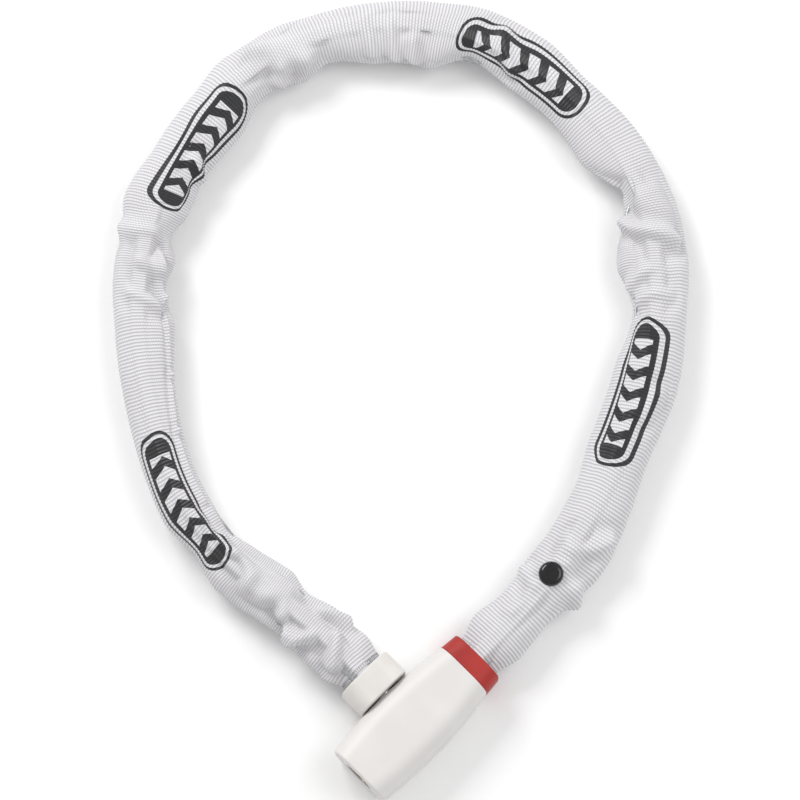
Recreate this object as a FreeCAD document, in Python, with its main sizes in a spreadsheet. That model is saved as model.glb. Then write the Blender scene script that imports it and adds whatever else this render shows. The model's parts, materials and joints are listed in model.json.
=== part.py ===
import FreeCAD, Part
import math
import os
import re
import Sketcher
from FreeCAD import Placement, Rotation, Vector

# Chain lock: a short barrel-shaped lock body, a loop of square-wire chain in a fabric sleeve, and a
# locking stud on the free end. Millimetres and degrees; +Z up, the lock lies on the plane z = 0.
# The lock's own pieces are built in the lock frame: x along the body from the key end, y across it
# towards the stud, z up from the body's axis.

doc = FreeCAD.newDocument("chain_lock")
sheet = doc.addObject("Spreadsheet::Sheet", "dimensions")

DRIVING = [
    # where the lock lies
    ("keyEndX", -17.7), ("keyEndY", -166.4), ("bodyTurn", 45), ("axisHeight", 12.5), ("chainHeight", 12),
    # moulded cover
    ("coverLength", 63.5), ("coverKeyWidth", 29.2), ("coverMidWidth", 33), ("coverChainWidth", 27.3),
    ("coverMidAt", 32), ("coverHeight", 25), ("coverEdge", 8.5), ("coverEndEdge", 1), ("coverWall", 2.2),
    # red collar at the chain end
    ("collarLength", 8.5), ("collarHeight", 24.6), ("collarTaper", 5), ("collarEdge", 8),
    ("collarLip", 0.9), ("collarWall", 1.5), ("mouthWidth", 23.6), ("mouthHeight", 19.8), ("mouthEdge", 8.5),
    ("clipThickness", 0.8), ("clipDepth", 0.6), ("clipWidth", 17), ("clipHeight", 15.6), ("play", 0.1),
    # cast core, and the two forks that hold the chain's ends
    ("coreWidth", 23.4), ("coreHeight", 20.4), ("coreEdge", 5), ("seam", 0.15),
    ("forkWidth", 12), ("forkHeight", 11.6), ("forkReach", 5), ("forkSlot", 5.6), ("pinDiameter", 7),
    ("pinFit", 0.03),
    # chain of square wire; two links take two pitches
    ("wire", 5), ("wireEdge", 0.6), ("linkLength", 32), ("linkWidth", 18), ("linkPitch", 20.5),
    ("firstLink", 6),
    # lock cylinder
    ("bezelDiameter", 14.2), ("bezelStart", 0.3), ("housingStart", 2.5), ("housingEnd", 22.6),
    ("housingDiameter", 15), ("plugBore", 12), ("plugDiameter", 11.9), ("plugFace", 11.2),
    ("plugFaceStart", 0.6), ("keywayWidth", 2), ("keywayHeight", 7.6), ("waferCount", 5),
    ("waferStart", 5.4), ("waferStep", 3.2), ("waferThickness", 1.2), ("waferWidth", 4.6),
    ("waferPlay", 0.1), ("waferTravel", 0.9), ("waferGroove", 5.4), ("windowHeight", 6.4),
    ("earWidth", 2.6), ("earHeight", 1.2), ("earAt", 2.9), ("earRise", 0.7),
    ("rollPin", 2.4), ("plugEdge", 0.3),
    ("springRadius", 0.42), ("springWire", 0.22), ("springPitch", 0.9), ("springHeight", 3.6),
    ("springAt", 3.35), ("springFoot", -3.9), ("springRoomWidth", 4.2), ("springRoomHeight", 6.6),
    # cam that locks the stud
    ("camDiameter", 13.2), ("camStart", 24.4), ("camThickness", 1.8), ("camSquare", 6), ("camReach", 29),
    ("fingerInner", 3.3), ("fingerWidth", 3.4), ("chamberDiameter", 14.6), ("screwDiameter", 3),
    ("screwHead", 5.6), ("screwHeadHeight", 1.1), ("screwLength", 5.8), ("screwSlot", 0.8),
    # locking stud, bush, cap
    ("studAt", 32.5), ("studDiameter", 9), ("studFit", 0.1), ("studNose", 5), ("noseBevel", 1.1),
    ("grooveDiameter", 6.4), ("grooveStart", 1.4), ("grooveEnd", 7), ("bushDiameter", 12),
    ("bushEnd", 15.8), ("flangeDiameter", 16), ("flangeStart", 18.8), ("flangeThickness", 1.6),
    ("studPinAt", 32.4), ("capStart", 17), ("capLength", 12.4), ("capWidth", 26.6), ("capHeight", 23.6),
    ("capEdge", 8), ("capLip", 0.7), ("capWall", 1.6),
    # fabric sleeve
    ("sleeveWidth", 25), ("sleeveHeight", 24), ("sleeveWall", 1.2), ("endWidth", 22), ("endHeight", 18),
    ("endWall", 1), ("endInside", 5.8), ("collarNeck", 3), ("capNeck", 0.6), ("knuckle", 12),
    ("knuckleGap", 0.4), ("wedge", 4.1), ("clampWall", 0.6), ("clampLength", 3), ("clampFit", 0.05),
    # rivet through the sleeve and the first flat moving link
    ("rivetHead", 10.8), ("rivetHeadHeight", 2.6), ("rivetRim", 0.4), ("rivetShank", 4),
    ("rivetSeat", 21.4), ("washerDiameter", 9.6), ("washerThickness", 0.9), ("rivetClear", 0.4),
    ("washerRoom", 3),
]
# How far each span of three links turns the chain, from the collar round to the stud. The fourth,
# eighth and last are trimmed below so that the loop closes on the stud.
TURNS = [16, 12, 24, 29, 31, 31, 37, 25, 26, 14, 34, -9]
DRIVING += [("spanTurn%02d" % (k + 1), turn) for k, turn in enumerate(TURNS)]

for row, (alias, number) in enumerate(DRIVING, start=1):
    sheet.set("A%d" % row, alias)
    sheet.set("B%d" % row, str(number))
    sheet.setAlias("B%d" % row, alias)
doc.recompute()

AXIS_X = Rotation(Vector(0, 1, 0), 90)     # turns a cylinder's axis from z to x
AXIS_Y = Rotation(Vector(1, 0, 0), -90)    # and from z to y


def expression(text):
    """Point each dimension's name in a formula at its cell."""
    return re.sub(r"[A-Za-z]\w*", lambda word: "dimensions." + word.group(), text)


def value(text):
    """The formula's present value."""
    probe.setExpression("Length", "%s + %d" % (expression(text), PROBE_LIFT))
    probe.recompute()
    return probe.Length.Value - PROBE_LIFT


probe = doc.addObject("Part::Box", "probe")    # works out formulas, so that they are written once
PROBE_LIFT = 1000    # keeps the probe's length above zero, whatever the formula gives


def bind(item, **formulas):
    for key, formula in formulas.items():
        item.setExpression(key, expression(formula))
    return item


# ---- sketches -------------------------------------------------------------------------------------

def new_body(name):
    return doc.addObject("PartDesign::Body", name)


def new_sketch(body, role, offset="0", across="0", rise="0"):
    """A sketch on one of the body's own planes, moved along its normal, its x and its y."""
    sketch = body.newObject("Sketcher::SketchObject", body.Name + "_sketch")
    plane = [item for item in body.Origin.OriginFeatures if item.Role == role][0]
    sketch.AttachmentSupport = [(plane, "")]
    sketch.MapMode = "FlatFace"
    sketch.AttachmentOffset = Placement(Vector(value(across), value(rise), value(offset)), Rotation())
    for key, formula in (("x", across), ("y", rise), ("z", offset)):
        if formula != "0":
            sketch.setExpression("AttachmentOffset.Base." + key, expression(formula))
    return sketch


def dimension(sketch, kind, *where_and_formula):
    *where, formula = where_and_formula
    number = sketch.addConstraint(Sketcher.Constraint(kind, *where, value(formula)))
    sketch.setExpression("Constraints[%d]" % number, expression(formula))


def add_circle(sketch, diameter):
    radius = value(diameter) / 2
    circle = sketch.addGeometry(Part.Circle(Vector(0, 0, 0), Vector(0, 0, 1), radius))
    sketch.addConstraint(Sketcher.Constraint("Coincident", circle, 3, -1, 1))
    dimension(sketch, "Diameter", circle, diameter)


def add_loop(sketch, corners):
    """Closed straight-sided outline through the given corners."""
    first = sketch.GeometryCount
    count = len(corners)
    for k, corner in enumerate(corners):
        sketch.addGeometry(Part.LineSegment(Vector(*corner), Vector(*corners[(k + 1) % count])))
    for k in range(count):
        sketch.addConstraint(Sketcher.Constraint("Coincident", first + k, 2, first + (k + 1) % count, 1))
    return first


def add_rectangle(sketch, width, height):
    """Rectangle centred on the sketch's origin."""
    half, rise = value(width) / 2, value(height) / 2
    first = add_loop(sketch, [(-half, -rise), (half, -rise), (half, rise), (-half, rise)])
    for k in (0, 2):
        sketch.addConstraint(Sketcher.Constraint("Horizontal", first + k))
        sketch.addConstraint(Sketcher.Constraint("Vertical", first + k + 1))
    sketch.addConstraint(Sketcher.Constraint("Symmetric", first, 1, first + 1, 2, -1, 1))
    dimension(sketch, "DistanceX", first, 1, first, 2, width)
    dimension(sketch, "DistanceY", first + 1, 1, first + 1, 2, height)


def add_rounded_rectangle(sketch, width, height, radius):
    """Round-cornered rectangle centred on the sketch's origin."""
    half, rise, bend = value(width) / 2, value(height) / 2, value(radius)
    normal = Vector(0, 0, 1)
    lines, arcs = [], []
    for k, (sx, sy) in enumerate(((1, -1), (1, 1), (-1, 1), (-1, -1))):
        centre = Vector(sx * (half - bend), sy * (rise - bend), 0)
        start = math.pi / 2 * (k - 1)
        corner = Part.ArcOfCircle(Part.Circle(centre, normal, bend), start, start + math.pi / 2)
        arcs.append(sketch.addGeometry(corner))
    sides = ((half, bend - rise, half, rise - bend), (half - bend, rise, bend - half, rise),
             (-half, rise - bend, -half, bend - rise), (bend - half, -rise, half - bend, -rise))
    for x0, y0, x1, y1 in sides:
        lines.append(sketch.addGeometry(Part.LineSegment(Vector(x0, y0, 0), Vector(x1, y1, 0))))
    for k in range(4):
        sketch.addConstraint(Sketcher.Constraint("Tangent", arcs[k], 2, lines[k], 1))
        sketch.addConstraint(Sketcher.Constraint("Tangent", lines[k], 2, arcs[(k + 1) % 4], 1))
        sketch.addConstraint(Sketcher.Constraint("Vertical" if k % 2 == 0 else "Horizontal", lines[k]))
    for k in (1, 2, 3):
        sketch.addConstraint(Sketcher.Constraint("Equal", arcs[0], arcs[k]))
    sketch.addConstraint(Sketcher.Constraint("Symmetric", arcs[0], 3, arcs[2], 3, -1, 1))
    dimension(sketch, "Radius", arcs[0], radius)
    dimension(sketch, "DistanceX", arcs[2], 3, arcs[1], 3, "%s - 2 * (%s)" % (width, radius))
    dimension(sketch, "DistanceY", arcs[0], 3, arcs[1], 3, "%s - 2 * (%s)" % (height, radius))


def add_profile(sketch, points):
    """Closed outline through (radius, station) corners, each bound to its formulas."""
    first = add_loop(sketch, [(value(radius), value(station)) for radius, station in points])
    for k, (radius, station) in enumerate(points):
        if radius == "0":
            sketch.addConstraint(Sketcher.Constraint("PointOnObject", first + k, 1, -2))
        else:
            dimension(sketch, "DistanceX", -1, 1, first + k, 1, radius)
        if station == "0":
            sketch.addConstraint(Sketcher.Constraint("PointOnObject", first + k, 1, -1))
        else:
            dimension(sketch, "DistanceY", -1, 1, first + k, 1, station)


def settle(feature):
    """Recompute and refuse a feature that failed."""
    doc.recompute()
    if any(word in ("Invalid", "Error") for word in feature.State) or feature.Shape.isNull():
        raise RuntimeError("%s failed: %s" % (feature.Name, feature.State))
    return feature


def pad(body, sketch, length, both=False, reverse=False, taper=None):
    feature = body.newObject("PartDesign::Pad", body.Name + "_pad")
    feature.Profile = sketch
    feature.SideType = "Symmetric" if both else "One side"
    feature.Reversed = reverse
    bind(feature, Length=length)
    if taper:
        feature.setExpression("TaperAngle", "-" + expression(taper))
    return settle(feature)


def pocket(body, sketch, length, both=False, reverse=False):
    """Cut, refusing a cut that takes nothing away."""
    before = body.Shape.Volume
    feature = body.newObject("PartDesign::Pocket", body.Name + "_pocket")
    feature.Profile = sketch
    feature.SideType = "Symmetric" if both else "One side"
    feature.Reversed = reverse
    bind(feature, Length=length)
    settle(feature)
    if body.Shape.Volume > before - 0.05:
        raise RuntimeError(body.Name + ": a pocket cuts nothing")
    return feature


def revolve(body, sketch):
    feature = body.newObject("PartDesign::Revolution", body.Name + "_turning")
    feature.Profile = sketch
    feature.ReferenceAxis = (sketch, ["V_Axis"])
    return settle(feature)


def round_edges(body, radius, choose):
    base = body.Tip
    edges = ["Edge%d" % (k + 1) for k, edge in enumerate(base.Shape.Edges)
             if choose(edge.BoundBox)]
    feature = body.newObject("PartDesign::Fillet", body.Name + "_fillet")
    feature.Base = (base, edges)
    bind(feature, Radius=radius)
    return settle(feature)


# ---- primitives -----------------------------------------------------------------------------------

def place(item, x, y, z, rotation=Rotation()):
    item.Placement = Placement(Vector(value(x), value(y), value(z)), rotation)
    for key, formula in (("x", x), ("y", y), ("z", z)):
        if formula != "0":
            item.setExpression("Placement.Base." + key, expression(formula))
    return item


def box(name, length, width, height, x="0", y="0", z="0"):
    """Box from x onwards, centred on y and z."""
    item = bind(doc.addObject("Part::Box", name), Length=length, Width=width, Height=height)
    return place(item, x, "%s - (%s) / 2" % (y, width), "%s - (%s) / 2" % (z, height))


def cylinder(name, diameter, length, x="0", y="0", z="0", rotation=Rotation()):
    item = bind(doc.addObject("Part::Cylinder", name), Radius="(%s) / 2" % diameter, Height=length)
    return place(item, x, y, z, rotation)


def fuse(name, *items):
    result = doc.addObject("Part::MultiFuse", name)
    result.Shapes = list(items)
    return result


def cut(name, base, *tools):
    result = doc.addObject("Part::Cut", name)
    result.Base = base
    result.Tool = tools[0] if len(tools) == 1 else fuse(name + "_tools", *tools)
    settle(result)
    if result.Shape.Volume > base.Shape.Volume - 0.05:
        raise RuntimeError(name + ": a cut takes nothing away")
    return result


def common(name, base, tool):
    result = doc.addObject("Part::Common", name)
    result.Base = base
    result.Tool = tool
    return result


def group(name, items):
    result = doc.addObject("Part::Compound", name)
    result.Links = list(items)
    return result


def copy_of(master, placement, name):
    link = doc.addObject("App::Link", name)
    link.LinkedObject = master
    link.Placement = placement
    return link


parts = []


def sub_part(item, node, placement):
    item.Label = node
    item.Placement = placement
    parts.append((node, item))


# ---- the loop's route -----------------------------------------------------------------------------
# Neighbouring links turn about the middle of the upright link's end bar. Between two such points a
# flat link measures flat_run and an upright one upright_run.

lock_frame = Placement(Vector(value("keyEndX"), value("keyEndY"), value("axisHeight")),
                       Rotation(Vector(0, 0, 1), value("bodyTurn")))
collar_end = "coverLength + collarLength"
upright_run = value("linkLength - wire")
flat_run = value("2 * linkPitch") - upright_run
hinge_lead = value("firstLink") + flat_run / 2
SPANS = len(TURNS)


def run_lengths(span):
    """The three links of a span, flat ones and upright ones by turns."""
    return [upright_run, flat_run, upright_run] if span % 2 == 0 else [flat_run, upright_run, flat_run]


def arc_radius(span, turn):
    """Signed radius of the arc on which a span's link ends lie."""
    runs = run_lengths(span)
    radius = sum(runs) / turn
    for _ in range(40):
        swept = sum(2 * math.asin(run / (2 * radius)) for run in runs)
        radius *= swept / turn
    return radius


def along(radius, swept):
    """Point on an arc that starts at the origin along x."""
    return Vector(radius * math.sin(swept), radius * (1 - math.cos(swept)), 0)


def lay_route(turns):
    """The frames of the spans' start hinges, and the last hinge's."""
    start = lock_frame.multVec(Vector(value(collar_end) + hinge_lead, 0, 0))
    frame = Placement(Vector(start.x, start.y, value("chainHeight")), lock_frame.Rotation)
    frames = [frame]
    for span, turn in enumerate(turns):
        heading = Rotation(Vector(0, 0, 1), math.degrees(turn))
        step = Placement(along(arc_radius(span, turn), turn), heading)
        frame = frame.multiply(step)
        frames.append(frame)
    return frames


def close_route(turns):
    """Trim the fourth and eighth turns, and the last, until the route ends at the stud's pin."""
    goal = lock_frame.multVec(Vector(value("studAt"), value("studPinAt"), 0))
    whole = 1.5 * math.pi

    def miss(turns):
        end = lay_route(turns)[-1].Base
        return end.x - goal.x, end.y - goal.y

    def with_changes(first, second):
        changed = list(turns)
        changed[3] += first
        changed[7] += second
        changed[-1] = whole - sum(changed[:-1])
        return changed

    small = 1e-4
    for _ in range(8):
        x0, y0 = miss(with_changes(0, 0))
        xa, ya = miss(with_changes(small, 0))
        xb, yb = miss(with_changes(0, small))
        a, b, c, d = (xa - x0) / small, (xb - x0) / small, (ya - y0) / small, (yb - y0) / small
        det = a * d - b * c
        turns = with_changes((b * y0 - d * x0) / det, (c * x0 - a * y0) / det)
    return turns


turns = close_route([math.radians(value("spanTurn%02d" % (k + 1))) for k in range(SPANS)])
frames = lay_route(turns)

# ---- chain link -----------------------------------------------------------------------------------

link_body = new_body("link_pattern")
sketch = new_sketch(link_body, "XY_Plane")
for width in ("linkWidth", "linkWidth - 2 * wire"):
    half = value("linkLength - linkWidth") / 2
    side = value(width) / 2
    first = sketch.GeometryCount
    normal = Vector(0, 0, 1)
    right_end = Part.Circle(Vector(half, 0), normal, side)
    left_end = Part.Circle(Vector(-half, 0), normal, side)
    sketch.addGeometry(Part.LineSegment(Vector(-half, -side), Vector(half, -side)))
    sketch.addGeometry(Part.ArcOfCircle(right_end, -math.pi / 2, math.pi / 2))
    sketch.addGeometry(Part.LineSegment(Vector(half, side), Vector(-half, side)))
    sketch.addGeometry(Part.ArcOfCircle(left_end, math.pi / 2, 1.5 * math.pi))
    for line, point, arc, end in ((0, 2, 1, 1), (2, 1, 1, 2), (2, 2, 3, 1), (0, 1, 3, 2)):
        sketch.addConstraint(Sketcher.Constraint("Tangent", first + line, point, first + arc, end))
    sketch.addConstraint(Sketcher.Constraint("Symmetric", first + 1, 3, first + 3, 3, -1, 1))
    sketch.addConstraint(Sketcher.Constraint("Horizontal", first))
    dimension(sketch, "Radius", first + 1, "(%s) / 2" % width)
    dimension(sketch, "DistanceX", first + 3, 3, first + 1, 3, "linkLength - linkWidth")
pad(link_body, sketch, "wire", both=True)
round_edges(link_body, "wireEdge", lambda edge: edge.ZLength < 0.01)

UPRIGHT = Rotation(Vector(1, 0, 0), 90)


def span_links(span):
    """The three links of a span, in the frame of its start hinge."""
    radius = arc_radius(span, turns[span])
    swept = 0
    links = []
    for k, run in enumerate(run_lengths(span)):
        step = 2 * math.asin(run / (2 * radius))
        a, b = along(radius, swept), along(radius, swept + step)
        heading = Rotation(Vector(0, 0, 1), math.degrees(swept + step / 2))
        if run == upright_run:
            heading = heading.multiply(UPRIGHT)
        name = "link_%02d_%d" % (span + 1, k + 1)
        links.append(copy_of(link_body, Placement((a + b) / 2, heading), name))
        swept += step
    return links


for span in range(SPANS):
    links = group("links_%02d" % (span + 1), span_links(span))
    sub_part(links, "chain_links_%02d" % (span + 1), frames[span])

# ---- fabric sleeve --------------------------------------------------------------------------------
# Each span carries one stretch of sleeve. A stretch ends in a round knuckle about its hinge, and the
# next one starts in a hollow round the same hinge, so the chain can bend there.

ACROSS = Rotation(Vector(1, 1, 1), 120)    # stands a flat outline up across the chain


def ellipse(name, width, height, station="0"):
    item = bind(doc.addObject("Part::Ellipse", name), MajorRadius="(%s) / 2" % width,
                MinorRadius="(%s) / 2" % height)
    return place(item, station, "0", "0", ACROSS)


def elliptic_rod(name, width, height, start, end):
    rod = doc.addObject("Part::Extrusion", name)
    rod.Base = ellipse(name + "_outline", width, height, start)
    rod.DirMode = "Custom"
    rod.Dir = Vector(1, 0, 0)
    rod.Solid = True
    bind(rod, LengthFwd="(%s) - (%s)" % (end, start))
    return rod


sleeve_face = doc.addObject("Part::Face", "sleeve_section")
sleeve_outer = ellipse("sleeve_outer", "sleeveWidth", "sleeveHeight")
sleeve_inner = ellipse("sleeve_inner", "sleeveWidth - 2 * sleeveWall", "sleeveHeight - 2 * sleeveWall")
sleeve_face.Sources = [sleeve_outer, sleeve_inner]
sleeve_face.FaceMakerClass = "Part::FaceMakerBullseye"
TALL = "2 * sleeveHeight"
WIDE = "2 * sleeveWidth"


def hollow_tool(name, frame):
    """What is cleared for the knuckle of the stretch before, at the frame's origin."""
    drum = cylinder(name + "_drum", "2 * (knuckle + knuckleGap)", TALL, z="-sleeveHeight")
    block = box(name + "_block", WIDE, WIDE, TALL, x="wedge - 2 * sleeveWidth")
    tool = fuse(name, drum, block)
    tool.Placement = frame
    return tool


def knuckle_tool(name, frame):
    """What is cut away beyond a hinge to leave the round knuckle."""
    block = box(name + "_block", WIDE, WIDE, TALL)
    drum = cylinder(name + "_drum", "2 * knuckle", TALL, z="-sleeveHeight")
    tool = cut(name, block, drum)
    tool.Placement = frame
    return tool


def rivet_tool():
    """Room for the rivet's shank, head and washer, in the first span's frame."""
    above = cylinder("rivet_room", "rivetHead + 2 * rivetClear", TALL,
                     z="rivetSeat - rivetClear - chainHeight")
    below = cylinder("washer_room", "washerDiameter + 2 * rivetClear", "sleeveHeight / 2 + washerRoom",
                     z="-sleeveHeight")
    tool = fuse("rivet_tool", above, below)
    tool.Placement = rivet_place
    return tool


first_radius = arc_radius(0, turns[0])
rivet_swept = turns[0] / 2
rivet_heading = Rotation(Vector(0, 0, 1), math.degrees(rivet_swept))
rivet_inset = first_radius - math.sqrt(first_radius ** 2 - (flat_run / 2) ** 2)
rivet_place = Placement(along(first_radius, rivet_swept), rivet_heading)
rivet_place.Base += rivet_heading.multVec(Vector(0, rivet_inset, 0))

for span in range(SPANS):
    name = "sleeve_%02d" % (span + 1)
    radius = arc_radius(span, turns[span])
    side = 1 if radius > 0 else -1
    last = span == SPANS - 1
    overrun = 0 if last else value("knuckle + 2") / abs(radius)
    tube = doc.addObject("Part::Revolution", name + "_tube")
    tube.Source = sleeve_face
    tube.Axis = Vector(0, 0, 1)
    tube.Base = Vector(0, radius, 0)
    tube.Angle = math.degrees(turns[span] + side * overrun)
    tube.Solid = True
    end_turn = math.degrees(turns[span])
    end_frame = Placement(along(radius, turns[span]), Rotation(Vector(0, 0, 1), end_turn))
    tools = [hollow_tool(name + "_start", Placement())]
    if last:
        backwards = end_frame.multiply(Placement(Vector(), Rotation(Vector(0, 0, 1), 180)))
        tools.append(hollow_tool(name + "_end", backwards))
    else:
        tools.append(knuckle_tool(name + "_end", end_frame))
    if span == 0:
        tools.append(rivet_tool())
    sub_part(cut(name + "_cut", tube, *tools), name, frames[span])


def sleeve_end(name, rim, neck, hinge):
    """The sleeve's fixed end: gathered inside a collar up to its rim, full width beyond it."""
    start = "%s - endInside" % rim
    step = "%s + %s" % (rim, neck)
    outer = fuse(name + "_outer",
                 elliptic_rod(name + "_neck", "endWidth", "endHeight", start, step + " + 0.5"),
                 elliptic_rod(name + "_full", "sleeveWidth", "sleeveHeight", step, hinge + " + knuckle + 2"))
    inner = fuse(name + "_inner",
                 elliptic_rod(name + "_bore", "endWidth - 2 * endWall", "endHeight - 2 * endWall",
                              start + " - 1", step + " + 2"),
                 elliptic_rod(name + "_hollow", "sleeveWidth - 2 * sleeveWall",
                              "sleeveHeight - 2 * sleeveWall", step + " + sleeveWall",
                              hinge + " + knuckle + 4"))
    hinge_frame = Placement(Vector(value(hinge), 0, 0), Rotation())
    return cut(name + "_cut", outer, inner, knuckle_tool(name + "_knuckle", hinge_frame))


def sleeve_clamp(name, rim):
    """Steel band round the gathered end."""
    start = "%s - endInside + 1" % rim
    outer = elliptic_rod(name + "_outer", "endWidth + 2 * clampFit + 2 * clampWall",
                         "endHeight + 2 * clampFit + 2 * clampWall", start, start + " + clampLength")
    inner = elliptic_rod(name + "_inner", "endWidth + 2 * clampFit", "endHeight + 2 * clampFit",
                         start + " - 1", start + " + clampLength + 1")
    return cut(name + "_cut", outer, inner)


chain_drop = Placement(Vector(0, 0, value("chainHeight - axisHeight")), Rotation())
chain_frame = lock_frame.multiply(chain_drop)
stud_frame = chain_frame.multiply(
    Placement(Vector(value("studAt"), 0, 0), Rotation(Vector(0, 0, 1), 90)))
pin_to_end = "(2 * linkPitch - linkLength + wire) / 2"    # from a pin's middle to the end of its link's bar
first_hinge = collar_end + " + firstLink + " + pin_to_end
cap_end = "capStart + capLength"
sub_part(sleeve_end("fixed_end", collar_end, "collarNeck", first_hinge), "fixed_sleeve", chain_frame)
sub_part(sleeve_clamp("fixed_band", collar_end), "fixed_sleeve_clamp", chain_frame)
sub_part(sleeve_end("free_end", cap_end, "capNeck", "studPinAt"), "end_sleeve", stud_frame)
sub_part(sleeve_clamp("free_band", cap_end), "end_sleeve_clamp", stud_frame)

# ---- rivet ----------------------------------------------------------------------------------------

rivet_frame = frames[0].multiply(rivet_place)
rivet_frame.Base = Vector(rivet_frame.Base.x, rivet_frame.Base.y, 0)
rivet = new_body("rivet_body")
add_profile(new_sketch(rivet, "XZ_Plane"), [
    ("0", "washerThickness - 0.2"), ("rivetShank / 2", "washerThickness - 0.2"),
    ("rivetShank / 2", "rivetSeat"), ("rivetHead / 2", "rivetSeat"),
    ("rivetHead / 2", "rivetSeat + rivetHeadHeight"), ("0", "rivetSeat + rivetHeadHeight")])
revolve(rivet, rivet.Group[-1])
round_edges(rivet, "rivetHeadHeight - rivetRim",
            lambda edge: edge.ZMin > value("rivetSeat") + 1 and edge.XLength > 8)
sub_part(rivet, "rivet", rivet_frame)

washer = cut("washer_cut", cylinder("washer_disc", "washerDiameter", "washerThickness"),
             cylinder("washer_hole", "rivetShank + 2 * pinFit", "3 * washerThickness",
                      z="-washerThickness"))
sub_part(washer, "rivet_washer", rivet_frame)

# ---- cover and collar -----------------------------------------------------------------------------

fork_z = "chainHeight - axisHeight"        # the chain's middle, seen from the body's axis

cover = new_body("cover_body")
sketch = new_sketch(cover, "XY_Plane")
key_half = value("coverKeyWidth") / 2
mid_half = value("coverMidWidth") / 2
chain_half = value("coverChainWidth") / 2
length, mid_at = value("coverLength"), value("coverMidAt")
upper = Part.Arc(Vector(length, chain_half, 0), Vector(mid_at, mid_half, 0), Vector(0, key_half, 0))
lower = Part.Arc(Vector(0, -key_half, 0), Vector(mid_at, -mid_half, 0), Vector(length, -chain_half, 0))
sketch.addGeometry(upper)
sketch.addGeometry(Part.LineSegment(Vector(0, key_half, 0), Vector(0, -key_half, 0)))
sketch.addGeometry(lower)
sketch.addGeometry(Part.LineSegment(Vector(length, -chain_half, 0), Vector(length, chain_half, 0)))
sketch.addGeometry(Part.Point(Vector(mid_at, mid_half, 0)), True)
sketch.addConstraint(Sketcher.Constraint("PointOnObject", 1, 1, -2))
sketch.addConstraint(Sketcher.Constraint("Symmetric", 1, 1, 1, 2, -1))
sketch.addConstraint(Sketcher.Constraint("Symmetric", 3, 1, 3, 2, -1))
for arc, line in ((0, 1), (2, 3)):
    ends = [(p, q) for p in (1, 2) for q in (1, 2)]
    for other in (1, 3):
        for p, q in ends:
            gap = sketch.getPoint(arc, p) - sketch.getPoint(other, q)
            if gap.Length < 1e-6:
                sketch.addConstraint(Sketcher.Constraint("Coincident", arc, p, other, q))
sketch.addConstraint(Sketcher.Constraint("PointOnObject", 4, 1, 0))
sketch.addConstraint(Sketcher.Constraint("Equal", 0, 2))
dimension(sketch, "DistanceY", 1, 2, 1, 1, "coverKeyWidth")
dimension(sketch, "DistanceY", 3, 1, 3, 2, "coverChainWidth")
dimension(sketch, "DistanceX", -1, 1, 3, 1, "coverLength")
dimension(sketch, "DistanceX", -1, 1, 4, 1, "coverMidAt")
dimension(sketch, "DistanceY", -1, 1, 4, 1, "coverMidWidth / 2")
pad(cover, sketch, "coverHeight", both=True)
round_edges(cover, "coverEdge", lambda edge: edge.ZLength < 0.01 and edge.XLength > 30)
round_edges(cover, "coverEndEdge", lambda edge: edge.XMax < 0.01)
sketch = new_sketch(cover, "YZ_Plane", "coverLength")
add_rounded_rectangle(sketch, "coreWidth + 2 * seam", "coreHeight + 2 * seam", "coreEdge + seam")
pocket(cover, sketch, "coverLength - coverWall")
sketch = new_sketch(cover, "YZ_Plane", "2 * coverWall")
add_circle(sketch, "bezelDiameter + 2 * seam")
pocket(cover, sketch, "4 * coverWall")
sketch = new_sketch(cover, "XZ_Plane", across="studAt")
add_circle(sketch, "bushDiameter + 2 * seam")
pocket(cover, sketch, "coverMidWidth")
sub_part(cover, "body_cover", lock_frame)

collar = new_body("collar_body")
sketch = new_sketch(collar, "YZ_Plane", "coverLength + seam")
add_rectangle(sketch, "coverChainWidth", "collarHeight")
pad(collar, sketch, "collarLength - seam", taper="collarTaper")
round_edges(collar, "collarEdge", lambda edge: edge.XLength > 7)
round_edges(collar, "collarLip", lambda edge: edge.XMin > value(collar_end) - 0.01)
sketch = new_sketch(collar, "YZ_Plane", collar_end, rise=fork_z)
add_rounded_rectangle(sketch, "mouthWidth", "mouthHeight", "mouthEdge")
pocket(collar, sketch, "collarLength - seam - collarWall")
collar_hole = box("collar_hole", "4 * collarWall", "forkWidth + 2 * seam", "forkHeight + 2 * seam",
                  x="coverLength - collarWall", z=fork_z)
link_slot = box("collar_link_slot", "4 * collarWall", "linkWidth + 4 * seam", "forkSlot",
                x="coverLength - collarWall", z=fork_z)
sub_part(cut("collar_cut", collar, collar_hole, link_slot), "end_collar", lock_frame)

clip_at = "coverLength + seam + collarWall + play"
clips = cut("clip_cut",
            box("clip_plate", "clipThickness", "clipWidth", "clipHeight", x=clip_at, z=fork_z),
            box("clip_hole", "3 * clipThickness", "forkWidth - 2 * clipDepth + 2 * pinFit",
                "forkHeight - 2 * clipDepth + 2 * pinFit", x=clip_at + " - clipThickness", z=fork_z),
            box("clip_gap", "3 * clipThickness", "2 * forkWidth", "forkSlot + 0.4",
                x=clip_at + " - clipThickness", z=fork_z))
sub_part(clips, "collar_clips", lock_frame)

bezel = cut("bezel_cut",
            cylinder("bezel_disc", "bezelDiameter", "coverWall - bezelStart", x="bezelStart",
                     rotation=AXIS_X),
            cylinder("bezel_hole", "plugFace + 0.3", "2 * coverWall", x="-coverWall / 2", rotation=AXIS_X))
sub_part(bezel, "keyway_bezel", lock_frame)

# ---- core -----------------------------------------------------------------------------------------

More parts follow.
